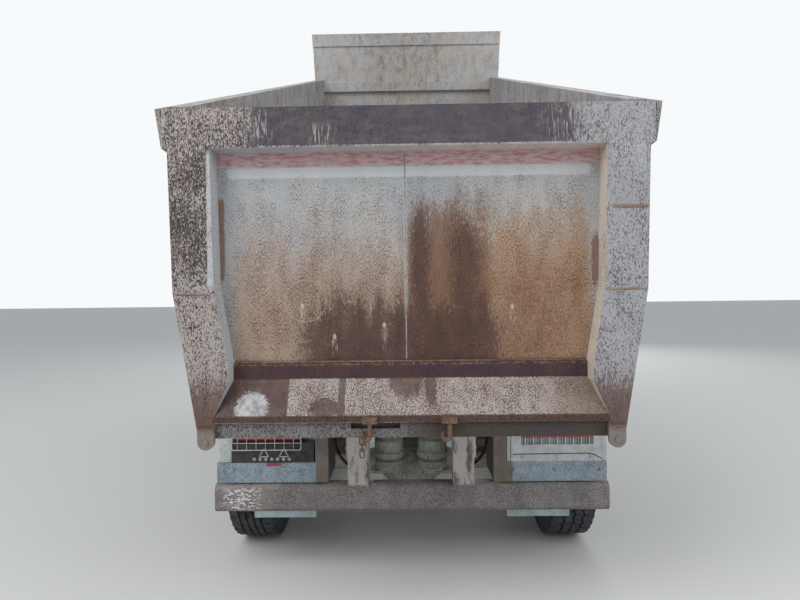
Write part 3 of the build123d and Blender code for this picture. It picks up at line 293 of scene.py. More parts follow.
def gate_frame_paint():
    """Brushed pale paint on the tailgate's frame, chipped to brown specks; rubbed to slate on the bar;
    painted light and shade on the recess's inner faces.
    """
    mat, tree = surface("gate_frame_paint", 0.6)
    side, up = place_axis(tree, 0), place_axis(tree, 2)
    left = ramp(tree, side, 0.2, -0.6)
    base = blend(tree, left, "#a2a2a6", "#a89f9a")
    chip = blend(tree, left, "#635b5c", "#3f3535")
    upper = times(tree, left, ramp(tree, up, 1.62, 2.0))
    corner = times(tree, left, ramp(tree, up, 2.3, 2.55))
    amount = calc(tree, "ADD", 0.36, times(tree, upper, 0.27))
    amount = calc(tree, "SUBTRACT", amount, times(tree, corner, 0.14))
    colour, specks = chipped(tree, base, chip, amount)
    dark_runs = times(tree, upper, patch(tree, "post_runs"))
    runs = times(tree, dark_runs, ramp(tree, wear_noise(tree, 22, 14, shift=8), 0.5, 0.62))
    colour = lay(tree, colour, runs, 0.55, "#4a3d3b")
    scratch = times(tree, corner, ramp(tree, wear_noise(tree, 9, 0.25, detail=2, shift=5), 0.6, 0.68))
    colour = lay(tree, colour, scratch, 0.6, "#c4bab0")
    foot = stipple(tree, ramp(tree, up, 1.52, 1.14), 8, 5, 0.6)
    colour = lay(tree, colour, foot, 0.88, dull_film(tree, "#4a3129", "#5d4032", 60))
    seams = feather(tree, patch(tree, "doubler_foot", "post_seam_left", "post_seam_right"), 7, 1)
    colour = lay(tree, colour, seams, 0.8, "#8a6f5c")
    rubbed = feather(tree, patch(tree, "bar_rubbed"), 8, 7, 1.7, shift=2)
    slate = stipple(tree, ramp(tree, wear_noise(tree, 90, 0.5), 0.3, 0.8), 6, 0.8, shift=3)
    slate = blend(tree, slate, dull_film(tree, "#3a3442", "#433a43", 160), "#564a4c")
    white = patch(tree, "bar_white_left", "bar_white_middle", "bar_white_right")
    flick = times(tree, white, ramp(tree, wear_noise(tree, 8, 9, shift=1), 0.54, 0.62))
    slate = lay(tree, slate, flick, 0.75, "#b6b1ad")
    colour = lay(tree, colour, rubbed, 0.96, slate)
    # The recess's inner faces, picked by the way they face, get a pale colour of their own: the blue-grey
    # on the left is painted light on that face, the tan on the right and under the bar is painted shade.
    reveal_painted_light = ramp(tree, calc(tree, "ABSOLUTE", facing(tree, 1)), 0.85, 0.4)
    reveal_painted_light = any_of(tree, times(tree, reveal_painted_light, patch(tree, "recess")), patch(tree, "recess_rim"))
    edge = across(tree, -0.5, 0.5, "#bcbec2", "#d6c9bb")
    edge, _ = chipped(tree, edge, "#7a6a60", 0.25, shift=9)
    colour = lay(tree, colour, reveal_painted_light, 0.9, edge)
    return dress(mat, colour, specks)


def gate_panel_paint():
    """Tailgate skin: red stripe and pale band on top, cool thin paint worn to tan and dark rust runs."""
    mat, tree = surface("gate_panel_paint", 0.6)
    cool = tone_of(tree, "#a2a7ae", "#afb0ae", 200, 2.0)
    side, up = place_axis(tree, 0), place_axis(tree, 2)
    drift = times(tree, calc(tree, "SUBTRACT", wear_noise(tree, 70, 4.0, shift=7), 0.5), 0.5)
    height = calc(tree, "ADD", up, drift)
    stained_left, stained_right = ramp(tree, height, 2.45, 1.6), ramp(tree, height, 2.5, 1.8)
    stained = blend_value(tree, ramp(tree, side, -0.1, 0.4), stained_left, stained_right)
    stained = times(tree, stained, span(tree, 0, -0.9, 0.94, 0.08))
    tan = across(tree, -0.1, 0.5, "#a38f80", "#a5866a")
    colour = blend(tree, stipple(tree, stained, 6, 3, shift=7), cool, tan)
    chip = blend(tree, stained, "#6b625e", "#6d4f3a")
    amount = calc(tree, "ADD", 0.3, times(tree, stained, 0.12))
    colour, specks = chipped(tree, colour, chip, amount, grain_mm=4, tall=2.6)
    orange = times(tree, patch(tree, "skin_orange"), 0.6)
    worn = any_of(tree, hanging(tree, height, "worn_middle"), orange)
    brown = tone_of(tree, "#664836", "#79563f", 12, 5)
    colour = blend(tree, times(tree, stipple(tree, worn, 7, 4, shift=2), 0.88), colour, brown)
    columns = any_of(tree, hanging(tree, height, "column_left"), hanging(tree, height, "column_right"))
    foot = times(tree, ramp(tree, up, 1.44, 1.40), 0.8)
    dark = any_of(tree, times(tree, columns, 0.75), hanging(tree, height, "bottom"), foot)
    dark = stipple(tree, dark, 7, 4, 0.5, shift=4)
    film, _ = chipped(tree, dull_film(tree, "#3a2523", "#472e28", 90), "#6a4b3b", 0.25, shift=6)
    colour = lay(tree, colour, dark, 0.93, film)
    colour = blend(tree, times(tree, patch(tree, "skin_seam"), 0.55), colour, "#bdbcb8")
    outside = calc(tree, "SUBTRACT", 1.0, patch(tree, "skin_arc_inside"))
    arc_mark = times(tree, patch(tree, "skin_arc"), outside)
    colour = lay(tree, colour, arc_mark, 0.35, "#b5a594")
    for x, z in WEEPS:
        tail = times(tree, spot(tree, (x, z - 0.05), WEEP_TAIL), 0.4)
        weep = any_of(tree, spot(tree, (x, z), WEEP_DROP, 0.4), feather(tree, tail, 6, 6, 1.4))
        colour = lay(tree, colour, weep, 0.7, "#c9bfb4")
    pale = feather(tree, patch(tree, "skin_pale_band"), 9, 0.6, 1.6)
    colour = lay(tree, colour, pale, 0.6, "#d0d3d2")
    flames = ramp(tree, wear_noise(tree, 60, 0.25, detail=5), 0.38, 0.7)
    red = blend(tree, flames, "#cbb3b2", "#b85a6c")
    stripe = feather(tree, patch(tree, "skin_red_stripe"), 16, 0.6, 1.1)
    colour = lay(tree, colour, stripe, 0.85, red)
    streak = feather(tree, patch(tree, "skin_streak"), 10, 8, 1.3)
    colour = lay(tree, colour, streak, 0.8, "#7a583c")
    marks = feather(tree, patch(tree, "skin_marks"), 14, 3, 2.4)
    colour = lay(tree, colour, marks, 0.75, "#6f4c3a")
    return dress(mat, colour, any_of(tree, specks, times(tree, dark, 0.8)))


def gate_sill_paint():
    """Sill: rust-brown ledge, pale chipped slope with drips, red-rust lip and dark lower plate."""
    mat, tree = surface("gate_sill_paint", 0.7)
    side, up = place_axis(tree, 0), place_axis(tree, 2)
    base = across(tree, 0.55, 0.9, "#aba29b", "#85766c")
    chip = tone_of(tree, "#57463f", "#6a5448", 50)
    colour, specks = chipped(tree, base, chip, 0.44, grain_mm=4.5, tall=2.0)
    rust = dull_film(tree, "#3f302d", "#5b4136", 50)
    stains = patch(tree, "sill_strip", "sill_stain", "sill_top_stain", "sill_drip")
    colour = blend(tree, times(tree, feather(tree, stains, 10, 4, 1.8), 0.85), colour, rust)
    white = times(tree, feather(tree, patch(tree, "sill_white"), 9, 1.0, 1.7, shift=3), 0.8)
    bare = blend(tree, white, rust, tone_of(tree, "#c9c9c8", "#8f9397", 30))
    colour = blend(tree, patch(tree, "sill_bare"), colour, bare)
    film = dull_film(tree, "#35222a", "#442a28", 90)
    bead = times(tree, span(tree, 2, 1.4, 1.425, 0.004), ramp(tree, wear_noise(tree, 14), 0.45, 0.6))
    film = lay(tree, film, bead, 0.6, "#8a6a55")
    ledge = span(tree, 2, LEDGE_LOW, 1.6, 0.004)
    colour = blend(tree, feather(tree, ledge, 8, 3, 0.8), colour, film)
    lip = span(tree, 2, *LIP_Z, 0.003)
    colour = lay(tree, colour, lip, 0.95, tone_of(tree, "#2b1610", "#523328", 18, 0.7))
    low = across(tree, -0.15, 0.15, "#7d7b7c", "#3d3026")
    low = blend(tree, patch(tree, "sill_blue"), low, "#333238")
    low, _ = chipped(tree, low, "#40352f", 0.45, shift=5)
    colour = blend(tree, ramp(tree, up, 1.133, 1.129), colour, low)
    return dress(mat, colour, specks)


# Other finishes

def drifting(name, metal, tones, grain, rough, bump_mm):
    """Finish of two drifting colours under a fine grain; metal is its roughness and metallic share."""
    mat, tree = surface(name, *metal)
    return dress(mat, tone_of(tree, *tones), wear_noise(tree, *grain), rough, bump_mm)


def bed_outer_paint():
    """Brushed grey bed paint with stone chips and rust runs below the ribs and seams."""
    mat, tree = surface("bed_outer_paint", 0.6)
    tone = tone_of(tree, "#adaeb0", "#b7b4af", 300)
    colour, specks = chipped(tree, tone, "#5c4d46", 0.38)
    runs = stipple(tree, ramp(tree, wear_noise(tree, 200, 1.6, shift=3), 0.52, 0.7), 9, 5)
    colour = lay(tree, colour, runs, 0.5, dull_film(tree, "#5a4034", "#80593f", 70))
    return dress(mat, colour, specks)


def bed_shell_paint():
    """Bed plate: outside as painted, the load's slide polished bare inside, scored along its length."""
    mat, tree = surface("bed_shell_paint", 0.5)
    tone = tone_of(tree, "#b4b8bd", "#bfbdba", 240)
    colour, specks = chipped(tree, tone, "#665a54", 0.42)
    inside = ramp(tree, facing(tree, 2), 0.05, 0.4)
    along = put(tree, "Mapping", {"Vector": own_place(tree), "Scale": (160, 4, 4)})
    score = put(tree, "TexNoise", {"Vector": along, "Scale": 1.0, "Detail": 4})
    steel = blend(tree, ramp(tree, score, 0.35, 0.65), "#b3b4b5", "#cdced0")
    colour = lay(tree, colour, inside, 0.8, steel)
    return dress(mat, colour, specks)


def headboard_paint():
    """Sand-beige brushed top over grey plate, with long rust runs."""
    mat, tree = surface("headboard_paint", 0.6)
    tone = tone_of(tree, "#bfb9b0", "#bcbfc2", 260, 1)
    colour, specks = chipped(tree, tone, "#7d6f66", 0.3)
    middle = times(tree, span(tree, 0, -0.6, 0.5, 0.25), 0.5)
    cover = calc(tree, "ADD", middle, ramp(tree, wear_noise(tree, 60, 4.0, shift=3), 0.4, 0.9))
    runs = stipple(tree, times(tree, cover, 0.55), 9, 6)
    colour = lay(tree, colour, runs, 0.8, dull_film(tree, "#5f4536", "#8a6444", 60))
    return dress(mat, colour, specks)


def fitting_rust():
    """Hot-forged hooks and tabs, rusted brown with rubbed pale edges."""
    mat, tree = surface("fitting_rust", 0.8, 0.2)
    colour, specks = chipped(tree, dull_film(tree, "#4c362c", "#6e4e3a", 30), "#9a8878", 0.22, tall=1)
    ends = any_of(tree, span(tree, 0, -1.2, -0.9, 0.01), span(tree, 0, 0.9, 1.2, 0.01))
    tabs = times(tree, ends, ramp(tree, place_axis(tree, 2), 1.13, 1.06))
    colour = blend(tree, times(tree, stipple(tree, tabs, 6, 2), 0.7), colour, "#8a8480")
    return dress(mat, colour, specks)


def dusty_chassis_paint():
    """Sprayed grey chassis paint under road dust: mat, beige in the lees."""
    mat, tree = surface("dusty_chassis_paint", 0.8)
    upward = ramp(tree, facing(tree, 2), 0.1, 0.9)
    tone = blend(tree, upward, tone_of(tree, "#7e807d", "#8f8c86", 60, 1), "#a0978a")
    return dress(mat, *chipped(tree, tone, "#554a43", 0.38, grain_mm=8, tall=1.2), rough=(0.75, 0.92))


def axle_dust():
    """Cast axle casing under a thick beige coat of road dust, darker towards the bottom."""
    mat, tree = surface("axle_dust", 0.9)
    below = ramp(tree, place_axis(tree, 2), 0.5, 0.3)
    tone = tone_of(tree, "#b3b0a6", "#a19d92", 50, 1)
    tone = lay(tree, tone, below, 0.5, "#5b5650")
    return dress(mat, *chipped(tree, tone, "#6d675e", 0.3, grain_mm=9, tall=1.2), rough=(0.8, 0.95))


def chamber_paint():
    """Stamped brake chambers in pale grey-green enamel, dusty, with dark clamp bands."""
    mat, tree = surface("chamber_paint", 0.7)
    tone = tone_of(tree, "#c3c7bc", "#adb0a6", 40, 1)
    colour, specks = chipped(tree, tone, "#77766c", 0.25, grain_mm=7, tall=1)
    bands = span(tree, 2, 0.615, 0.635, 0.004)
    colour = lay(tree, colour, bands, 0.7, "#5f5f5a")
    return dress(mat, colour, specks)


def spring_steel():
    """Leaf springs and shafts: scaled black steel with brown rust between the leaves."""
    mat, tree = surface("spring_steel", 0.8, 0.2)
    tone = dull_film(tree, "#3b342f", "#55463b", 40)
    return dress(mat, *chipped(tree, tone, "#7a6a58", 0.35, grain_mm=10, tall=0.6), rough=(0.7, 0.9))


def underrun_paint():
    """Rolled bar in purple-brown rust film, darker rust-brown on its lower side as painted shade, white
    flakes at its left end; pale rail ends, brown legs.
    """
    mat, tree = surface("underrun_paint", 0.75)
    tone = dull_film(tree, "#787377", "#8a8482", 140)
    colour, specks = chipped(tree, tone, "#564945", 0.36, grain_mm=7, tall=0.5)
    torn = ramp(tree, wear_noise(tree, 22, 0.6, shift=6), 0.5, 0.54)
    colour = blend(tree, times(tree, patch(tree, "bar_flakes"), torn), colour, "#cfcdc9")
    # The bar's lower side is darkened to rust-brown: rust film, and painted shade under the round bar.
    low = feather(tree, ramp(tree, place_axis(tree, 2), 0.44, 0.39), 30, 0.5, 1.6)
    colour = lay(tree, colour, low, 0.8, "#5d4234")
    hung = ramp(tree, place_axis(tree, 2), 0.408, 0.404)
    colour = blend(tree, hung, colour, tone_of(tree, "#93a5a6", "#7f8f90", 60))
    bruised = stipple(tree, ramp(tree, wear_noise(tree, 40, 5), 0.4, 0.7), 7, 5)
    pale = blend(tree, bruised, "#b5aeaa", "#5d4e4c")
    colour = blend(tree, patch(tree, "rail_end_left", "rail_end_right"), colour, pale)
    legs = feather(tree, patch(tree, "leg_left", "leg_right"), 12, 3, 1.4)
    colour = lay(tree, colour, legs, 0.85, dull_film(tree, "#5a4030", "#76563d", 40))
    return dress(mat, colour, specks)


def lamp_panel_paint():
    """Folded sheet in thin blue-grey paint with dust and scrapes; its inner legs stay rust-brown."""
    mat, tree = surface("lamp_panel_paint", 0.6)
    tone = tone_of(tree, "#80929f", "#95a3ad", 90, 0.7)
    colour, specks = chipped(tree, tone, "#5d5752", 0.32, grain_mm=6, tall=0.8)
    inner = any_of(tree, span(tree, 0, -0.598, 0.0, 0.004), span(tree, 0, 0.0, 0.638, 0.004))
    colour = lay(tree, colour, inner, 0.9, tone_of(tree, "#6f6152", "#5a4b40", 50, 3))
    return dress(mat, colour, specks)


def cream_lamp_paint():
    """Pressed lamp box in old cream enamel."""
    mat, tree = surface("cream_lamp_paint", 0.55)
    tone = tone_of(tree, "#bfc3c1", "#aeb3b3", 60, 0.8)
    return dress(mat, *chipped(tree, tone, "#5e5a54", 0.25, grain_mm=5, tall=0.8))


def cab_paint():
    """Sprayed pale cab enamel, clear-coated, with a little dust low down."""
    mat, tree = surface("cab_paint", 0.35, more=[("Coat Weight", 0.3)])
    dust = ramp(tree, place_axis(tree, 2), 1.9, 1.1)
    colour = blend(tree, times(tree, dust, wear_noise(tree, 120)), "#cfcfcb", "#9a9182")
    chips = chipped(tree, colour, "#8b8378", 0.1, grain_mm=5, tall=1)
    return dress(mat, *chips, rough=(0.3, 0.7), bump_mm=0.12)


def black_moulding():
    """Injection-moulded black plastic with a fine grain, dull with dust."""
    return drifting("black_moulding", (0.65,), ("#19191a", "#34322f", 40, 1), (2,), (0.5, 0.8), 0.2)


def tyre_rubber():
    """Moulded tyre rubber, charcoal with pale stone dust on the ribs."""
    return drifting("tyre_rubber", (0.85,), ("#1f2022", "#45454a", 40, 1), (3,), (0.75, 0.95), 0.3)


def wheel_paint():
    """Silver-grey wheel enamel with brake dust."""
    mat, tree = surface("wheel_paint", 0.5, 0.2)
    tone = tone_of(tree, "#8f8f8d", "#66615b", 50, 1)
    return dress(mat, *chipped(tree, tone, "#4d4038", 0.3, grain_mm=6, tall=1), rough=(0.45, 0.8))


def stage_chrome():
    """Ground and hard-chromed hoist tube with an oil film."""
    return drifting("stage_chrome", (0.25, 0.9), ("#b4b4b2", "#8e8a84", 30, 3), (5, 3), (0.2, 0.4), 0.05)


def window_glass():
    """Float glass with a faint green tint and a dust film."""
    tint = [("Base Color", paint("#dfe9e4")), ("Transmission Weight", 0.85), ("IOR", 1.45)]
    mat, tree = surface("window_glass", 0.05, more=tint)
    dust = ramp(tree, wear_noise(tree, 60), 0.4, 0.8, 0.03, 0.2)
    tree.links.new(dust, shader_inputs(mat)["Roughness"])
    return mat


def clear_lens():
    """Moulded clear lens with upright flutes, drawn at 12 mm so that they show."""
    mat, tree = surface("clear_lens", 0.08, more=[("Transmission Weight", 0.6)])
    wave = put(tree, "TexWave", {"Vector": own_place(tree), "Scale": 1 / (24 * MM)}, out="Fac")
    colour = blend(tree, wave, "#c9cdd0", "#eef0f0")
    return dress(mat, colour, wave, rough=(0.05, 0.15), bump_mm=1.0)


def checks(tree, pitch_mm):
    """Fine cross pattern of a given pitch."""
    return put(tree, "TexChecker", {"Vector": own_place(tree), "Scale": 1 / (pitch_mm * MM)}, out="Fac")


def moulded_lens(name, a, b):
    """Coloured acrylic lens with a fine prism grid."""
    mat, tree = surface(name, 0.2, more=[("Coat Weight", 0.5)])
    grid = checks(tree, 5)
    return dress(mat, blend(tree, grid, a, b), grid, rough=(0.15, 0.3), bump_mm=0.4)


def red_lens():
    """Rear lens, red acrylic."""
    return moulded_lens("red_lens", "#a3242a", "#7c161c")


def amber_lens():
    """Turn lamp lens, amber acrylic."""
    return moulded_lens("amber_lens", "#c9701f", "#a95713")


def mirror_silver():
    """Silvered mirror glass with a dust bloom."""
    return drifting("mirror_silver", (0.05, 1), ("#c9ced0", "#b2b5b4", 60, 1), (20,), (0.03, 0.15), 0.01)


def seat_cloth():
    """Woven dark seat cloth: a fine cross weave, drawn at 6 mm so that it shows."""
    mat, tree = surface("seat_cloth", 0.95, more=[("Sheen Weight", 0.3)])
    weave = checks(tree, 6)
    colour = blend(tree, weave, "#2a2b30", "#3a3c42")
    return dress(mat, colour, wear_noise(tree, 4), rough=(0.9, 1.0), bump_mm=0.5)


def cast_engine():
    """Sand-cast iron block, oily and dusty."""
    return drifting("cast_engine", (0.7, 0.3), ("#444546", "#5f594f", 40, 1), (6,), (0.6, 0.9), 1.0)


def brushed_alloy():
    """Brushed aluminium tank, dulled by dust."""
    return drifting("brushed_alloy", (0.4, 1.0), ("#b9b9b7", "#99958e", 90, 1), (2, 12), (0.3, 0.5), 0.05)


def heated_steel():
    """Aluminised exhaust can, browned by heat."""
    mat, tree = surface("heated_steel", 0.6, 0.6)
    tone = tone_of(tree, "#7d766c", "#6a5546", 90, 1)
    return dress(mat, *chipped(tree, tone, "#5b3f2e", 0.4, grain_mm=8, tall=1))


FINISH = {
    bed_outer_paint: ["bed_rails", "bed_ribs", "bed_underframe"],
    gate_frame_paint: ["gate_frame"],
    gate_panel_paint: ["gate_panel"],
    gate_sill_paint: ["gate_sill"],
    fitting_rust: ["gate_fittings"],
    bed_shell_paint: ["bed_shell"],
    headboard_paint: ["headboard"],
    dusty_chassis_paint: [
        "chassis_frame", "front_axle", "knuckle_left", "knuckle_right", "tie_rod", "hoist_cradle",
        "hoist_barrel", "equipment_box",
    ],
    axle_dust: ["rear_axle", "middle_axle"],
    chamber_paint: ["brake_chambers"],
    spring_steel: ["leaf_springs", "prop_shafts"],
    underrun_paint: ["rear_underrun"],
    lamp_panel_paint: ["lamp_panels"],
    cream_lamp_paint: ["tail_lamp_right"],
    cab_paint: ["cab_shell", "door_left", "door_right", "cab_lower"],
    black_moulding: ["tail_lamp_left", "grille", "bumper", "mudguards", "mirrors", "dashboard",
                     "steering_wheel"],
    tyre_rubber: [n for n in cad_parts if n.startswith("tyre_")],
    wheel_paint: [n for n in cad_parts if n.startswith("rim_")],
    stage_chrome: ["hoist_stage_%d" % stage for stage in (1, 2, 3, 4)],
    window_glass: ["cab_glass", "door_glass_left", "door_glass_right"],
    clear_lens: ["headlamps"],
    seat_cloth: ["seats"],
    cast_engine: ["engine_block"],
    brushed_alloy: ["fuel_tank"],
    heated_steel: ["silencer"],
}
MATERIAL = {make: make() for make in (*FINISH, red_lens, amber_lens, mirror_silver)}


def dress_nodes():
    """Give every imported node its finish."""
    for make, nodes in FINISH.items():
        for name in nodes:
            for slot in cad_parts[name].material_slots:
                slot.material = MATERIAL[make]


dress_nodes()


# Mesh helpers

def piece(name, bm, finish, body="chassis", bend_deg=35):
    """Turn a bmesh into a shaded piece that rides on a body."""
    bmesh.ops.recalc_face_normals(bm, faces=bm.faces)
    mesh = bpy.data.meshes.new(name)
    bm.to_mesh(mesh)
    bm.free()
    mesh.polygons.foreach_set("use_smooth", [True] * len(mesh.polygons))
    mesh.set_sharp_from_angle(angle=math.radians(bend_deg))
    mesh.materials.append(MATERIAL[finish])
    obj = bpy.data.objects.new(name, mesh)
    bpy.context.collection.objects.link(obj)
    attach(obj, body)
    return obj


def skin(bm, rings, closed=False):
    """Join rings of points into a tube: capped at both ends, or closed on itself."""
    rows = [[bm.verts.new(p) for p in ring] for ring in rings]
    pairs = list(zip(rows, rows[1:])) + ([(rows[-1], rows[0])] if closed else [])
    for a, b in pairs:
        for i in range(len(a)):
            j = (i + 1) % len(a)
            bm.faces.new((a[i], a[j], b[j], b[i]))
    if not closed:
        bm.faces.new(reversed(rows[0]))
        bm.faces.new(rows[-1])


def circle(centre, side, up, radius, steps):
    """Points round a centre, in the plane of two directions."""
    turns = (math.tau * k / steps for k in range(steps))
    return [centre + (side * math.cos(a) + up * math.sin(a)) * radius for a in turns]


def tube(bm, points, radius, sides=8, closed=False, ripple=0.0):
    """Round bar along points; ripple makes the swells of a weld bead."""
    points = [Vector(p) for p in points]
    count = len(points)
    rings = []
    side = None
    for i, point in enumerate(points):
        after = points[(i + 1) % count] if closed else points[min(i + 1, count - 1)]
        before = points[i - 1] if closed or i else points[0]
        ahead = (after - before).normalized()
        if side is None:
            side = ahead.orthogonal().normalized()
        side = (side - ahead * side.dot(ahead)).normalized()
        up = ahead.cross(side)
        rings.append(circle(point, side, up, radius * (1 + ripple * (i % 2)), sides))
    skin(bm, rings, closed)


def arc(centre, radius, start, end, steps, across=(1, 0, 0), up=(0, 0, 1)):
    """Points on an arc in the plane of two directions, in degrees."""
    across, up = Vector(across), Vector(up)
    turns = [math.radians(start + (end - start) * i / steps) for i in range(steps + 1)]
    return [Vector(centre) + across * radius * math.cos(a) + up * radius * math.sin(a) for a in turns]


def line(a, b, step=0.004):
    """Points from a to b at even steps."""
    a, b = Vector(a), Vector(b)
    count = max(2, int((b - a).length / step))
    return [a.lerp(b, i / count) for i in range(count + 1)]


def turned(bm, place, way, profile, steps=24):
    """Turned form: (distance along way, radius) pairs round an axis."""
    place, way = Vector(place), Vector(way).normalized()
    side = way.orthogonal().normalized()
    up = way.cross(side)
    skin(bm, [circle(place + way * d, side, up, r, steps) for d, r in profile])


def slab(bm, low, high, edge):
    """Block between two corners with its edges rounded."""
    low, high = Vector(low), Vector(high)
    made = bmesh.ops.create_cube(bm, size=1.0)["verts"]
    for v in made:
        v.co = Vector(low[k] + (v.co[k] + 0.5) * (high[k] - low[k]) for k in range(3))
    edges = list({e for v in made for e in v.link_edges})
    bmesh.ops.bevel(bm, geom=edges, offset=edge, segments=2, affect="EDGES", profile=0.5)


# Wheels

WHEELS = [(axle, side) for axle in ("front", "middle", "rear") for side in ("left", "right")]
TREAD_STEPS, GROOVE_W, GROOVE_DEEP = 180, 13 * MM, 15 * MM
NUTS, NUT_CIRCLE, DISC_OUT = 10, 166 * MM, 78 * MM
HUB_BOLTS, HUB_CIRCLE, HUB_OUT = 8, 103 * MM, 118 * MM

# Turned profiles, in metres: pairs of distance outward and radius
WHEEL_NUT = (-0.001, 0.019), (0.004, 0.019), (0.004, 0.0165), (0.022, 0.0165), (0.026, 0.013)
WHEEL_STUD = (0.0, 0.010), (0.034, 0.010), (0.036, 0.008)
HUB_CAP = (-0.001, 0.09), (0.006, 0.086), (0.012, 0.06), (0.014, 0.02)
HUB_BOLT = (-0.004, 0.009), (0.007, 0.009), (0.009, 0.007)
HOOK_BOLT = (-0.006, 0.013), (0.002, 0.013), (0.006, 0.009)
LENS_CELL = (-0.002, 0.011), (0.004, 0.011), (0.007, 0.007), (0.008, 0.002)
LAMP_SCREW = (-0.002, 0.009), (0.003, 0.009), (0.005, 0.006)
HOSE_END = (0, 0.015), (0.032, 0.015), (0.034, 0.011)
WIPER_PIVOT = (-0.01, 0.022), (0.012, 0.022), (0.02, 0.012)
LAMP_RING = (-0.002, 0.062), (0.004, 0.062), (0.005, 0.055), (-0.001, 0.05)
BULB_HOOD = (-0.001, 0.02), (0.005, 0.018), (0.007, 0.01)
PANEL_BOLT = (-0.002, 0.010), (0.004, 0.010), (0.006, 0.007)
RAIL_BOLT = (-0.002, 0.012), (0.005, 0.012), (0.007, 0.008)


def on_wheel(middle, out, radius, angle):
    """Point out along the axle from a middle, and round it."""
    return middle + Vector((out, radius * math.cos(angle), radius * math.sin(angle)))


def tread_profile(half, top, grooves):
    """(offset, radius, zigzag share, shoulder) round one side of the tyre to the other."""
    bead = top - 232 * MM
    wall = [(0.71, bead), (0.8, bead + 24 * MM), (0.94, bead + 62 * MM), (0.995, top - 125 * MM),
            (0.985, top - 75 * MM), (0.955, top - 40 * MM)]
    rows = [(-u * half, r, 0, 0) for u, r in wall]
    rows += [(-0.93 * half, top - 22 * MM, 0, 1), (-0.88 * half, top - 5 * MM, 0, 1)]
    for i in range(grooves):
        mid = half * 1.15 * ((i + 0.5) / grooves - 0.5) * 1.05
        for du, deep in ((-0.5, 0), (-0.3, 1), (0.3, 1), (0.5, 0)):
            crown = 4 * MM * (mid / half) ** 2
            rows.append((mid + du * GROOVE_W, top - 1 * MM - crown - deep * GROOVE_DEEP, 1, 0))
    rows += [(0.88 * half, top - 5 * MM, 0, 1), (0.93 * half, top - 22 * MM, 0, 1)]
    return rows + [(u * half, r, 0, 0) for u, r in reversed(wall)]


def tyre(axle, side):
    """Ribbed road tyre: straight ribs on the left, zigzag ones on the right, notched shoulders."""
    node = "tyre_%s_%s" % (axle, side)
    low, high = node_box(node)
    mid = (low + high) / 2
    half = (high.x - low.x) / 2 - 2 * MM
    swing = 7 * MM if side == "right" else 1 * MM
    rows = tread_profile(half, (high.z - low.z) / 2, 3 if side == "right" else 4)
    rings = []
    for i in range(TREAD_STEPS):
        a = math.tau * i / TREAD_STEPS
        shift = (0, 1, 0, -1)[i % 4] * swing
        notch = 7 * MM if i % 4 in (0, 1) else 0.0
        rings.append([on_wheel(mid, u + zig * shift, r - notch * edge, a) for u, r, zig, edge in rows])
    bm = bmesh.new()
    skin(bm, rings, closed=True)
    obj = piece("tread_" + axle + "_" + side, bm, tyre_rubber, "wheel_%s_%s" % (axle, side), 28)
    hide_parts(node)


def wheel_nuts(axle, side):
    """Hexagon nuts on studs round the disc, and the hub's cap ring."""
    low, high = node_box("tyre_%s_%s" % (axle, side))
    mid = (low + high) / 2
    out = 1 if side == "right" else -1
    bm = bmesh.new()
    for i in range(NUTS):
        a = math.tau * (i + 0.5) / NUTS
        at = on_wheel(mid, out * DISC_OUT, NUT_CIRCLE, a)
        turned(bm, at, (out, 0, 0), WHEEL_NUT, 6)
        turned(bm, at, (out, 0, 0), WHEEL_STUD, 10)
    face = mid + Vector((out * HUB_OUT, 0, 0))
    turned(bm, face, (out, 0, 0), HUB_CAP, 32)
    for i in range(HUB_BOLTS):
        turned(bm, on_wheel(face, 0, HUB_CIRCLE, math.tau * i / HUB_BOLTS), (out, 0, 0), HUB_BOLT, 6)
    piece("nuts_" + axle + "_" + side, bm, wheel_paint, "wheel_%s_%s" % (axle, side))


# Tailgate pieces

GATE_FACE = GATE_LOW.y
POST_BEADS = ((-1.165, 1.772), (-0.985, 1.768)), ((0.972, 1.772), (1.16, 1.776))
SKIN_BEAD_X, SKIN_BEAD_Z = -0.015, (1.43, 2.48)
DOUBLER_LOW = Vector((1.005, GATE_FACE - 6 * MM, 2.176))
DOUBLER_HIGH = Vector((1.165, GATE_FACE, 2.492))
HOOKS_X, HOOK_BEND, HOOK_WIRE = (-0.199, 0.192), 17 * MM, 11 * MM
LINKS, LINKS_X, LINKS_TOP, LINK_PITCH = 4, -0.238, 1.075, 31 * MM


def gate_welds():
    """Weld beads across the posts, round the patch plate and along the skin's centre."""
    bm = bmesh.new()
    y = GATE_FACE - 1 * MM
    low, high = DOUBLER_LOW, DOUBLER_HIGH
    ring = [(low.x, low.z), (high.x, low.z), (high.x, high.z), (low.x, high.z), (low.x, low.z)]
    for a, b in (*POST_BEADS, *zip(ring, ring[1:])):
        tube(bm, line((a[0], y, a[1]), (b[0], y, b[1])), 4 * MM, 6, ripple=0.35)
    ends = [(SKIN_BEAD_X, PANEL_LOW.y - 1 * MM, z) for z in SKIN_BEAD_Z]
    tube(bm, line(*ends), 3 * MM, 6, ripple=0.3)
    piece("gate_welds", bm, gate_frame_paint, "tailgate")


def ledge_bead():
    """Round bar welded along the ledge's back edge."""
    bm = bmesh.new()
    y, z = PANEL_LOW.y - 8 * MM, SILL_TOP + 4 * MM
    tube(bm, line((-0.885, y, z), (0.885, y, z), 0.05), 8 * MM, 8)
    piece("ledge_bead", bm, fitting_rust, "tailgate")


def doubler():
    """Patch plate welded over the right post's upper half."""
    bm = bmesh.new()
    slab(bm, DOUBLER_LOW, DOUBLER_HIGH, 1.5 * MM)
    piece("post_doubler", bm, gate_frame_paint, "tailgate")


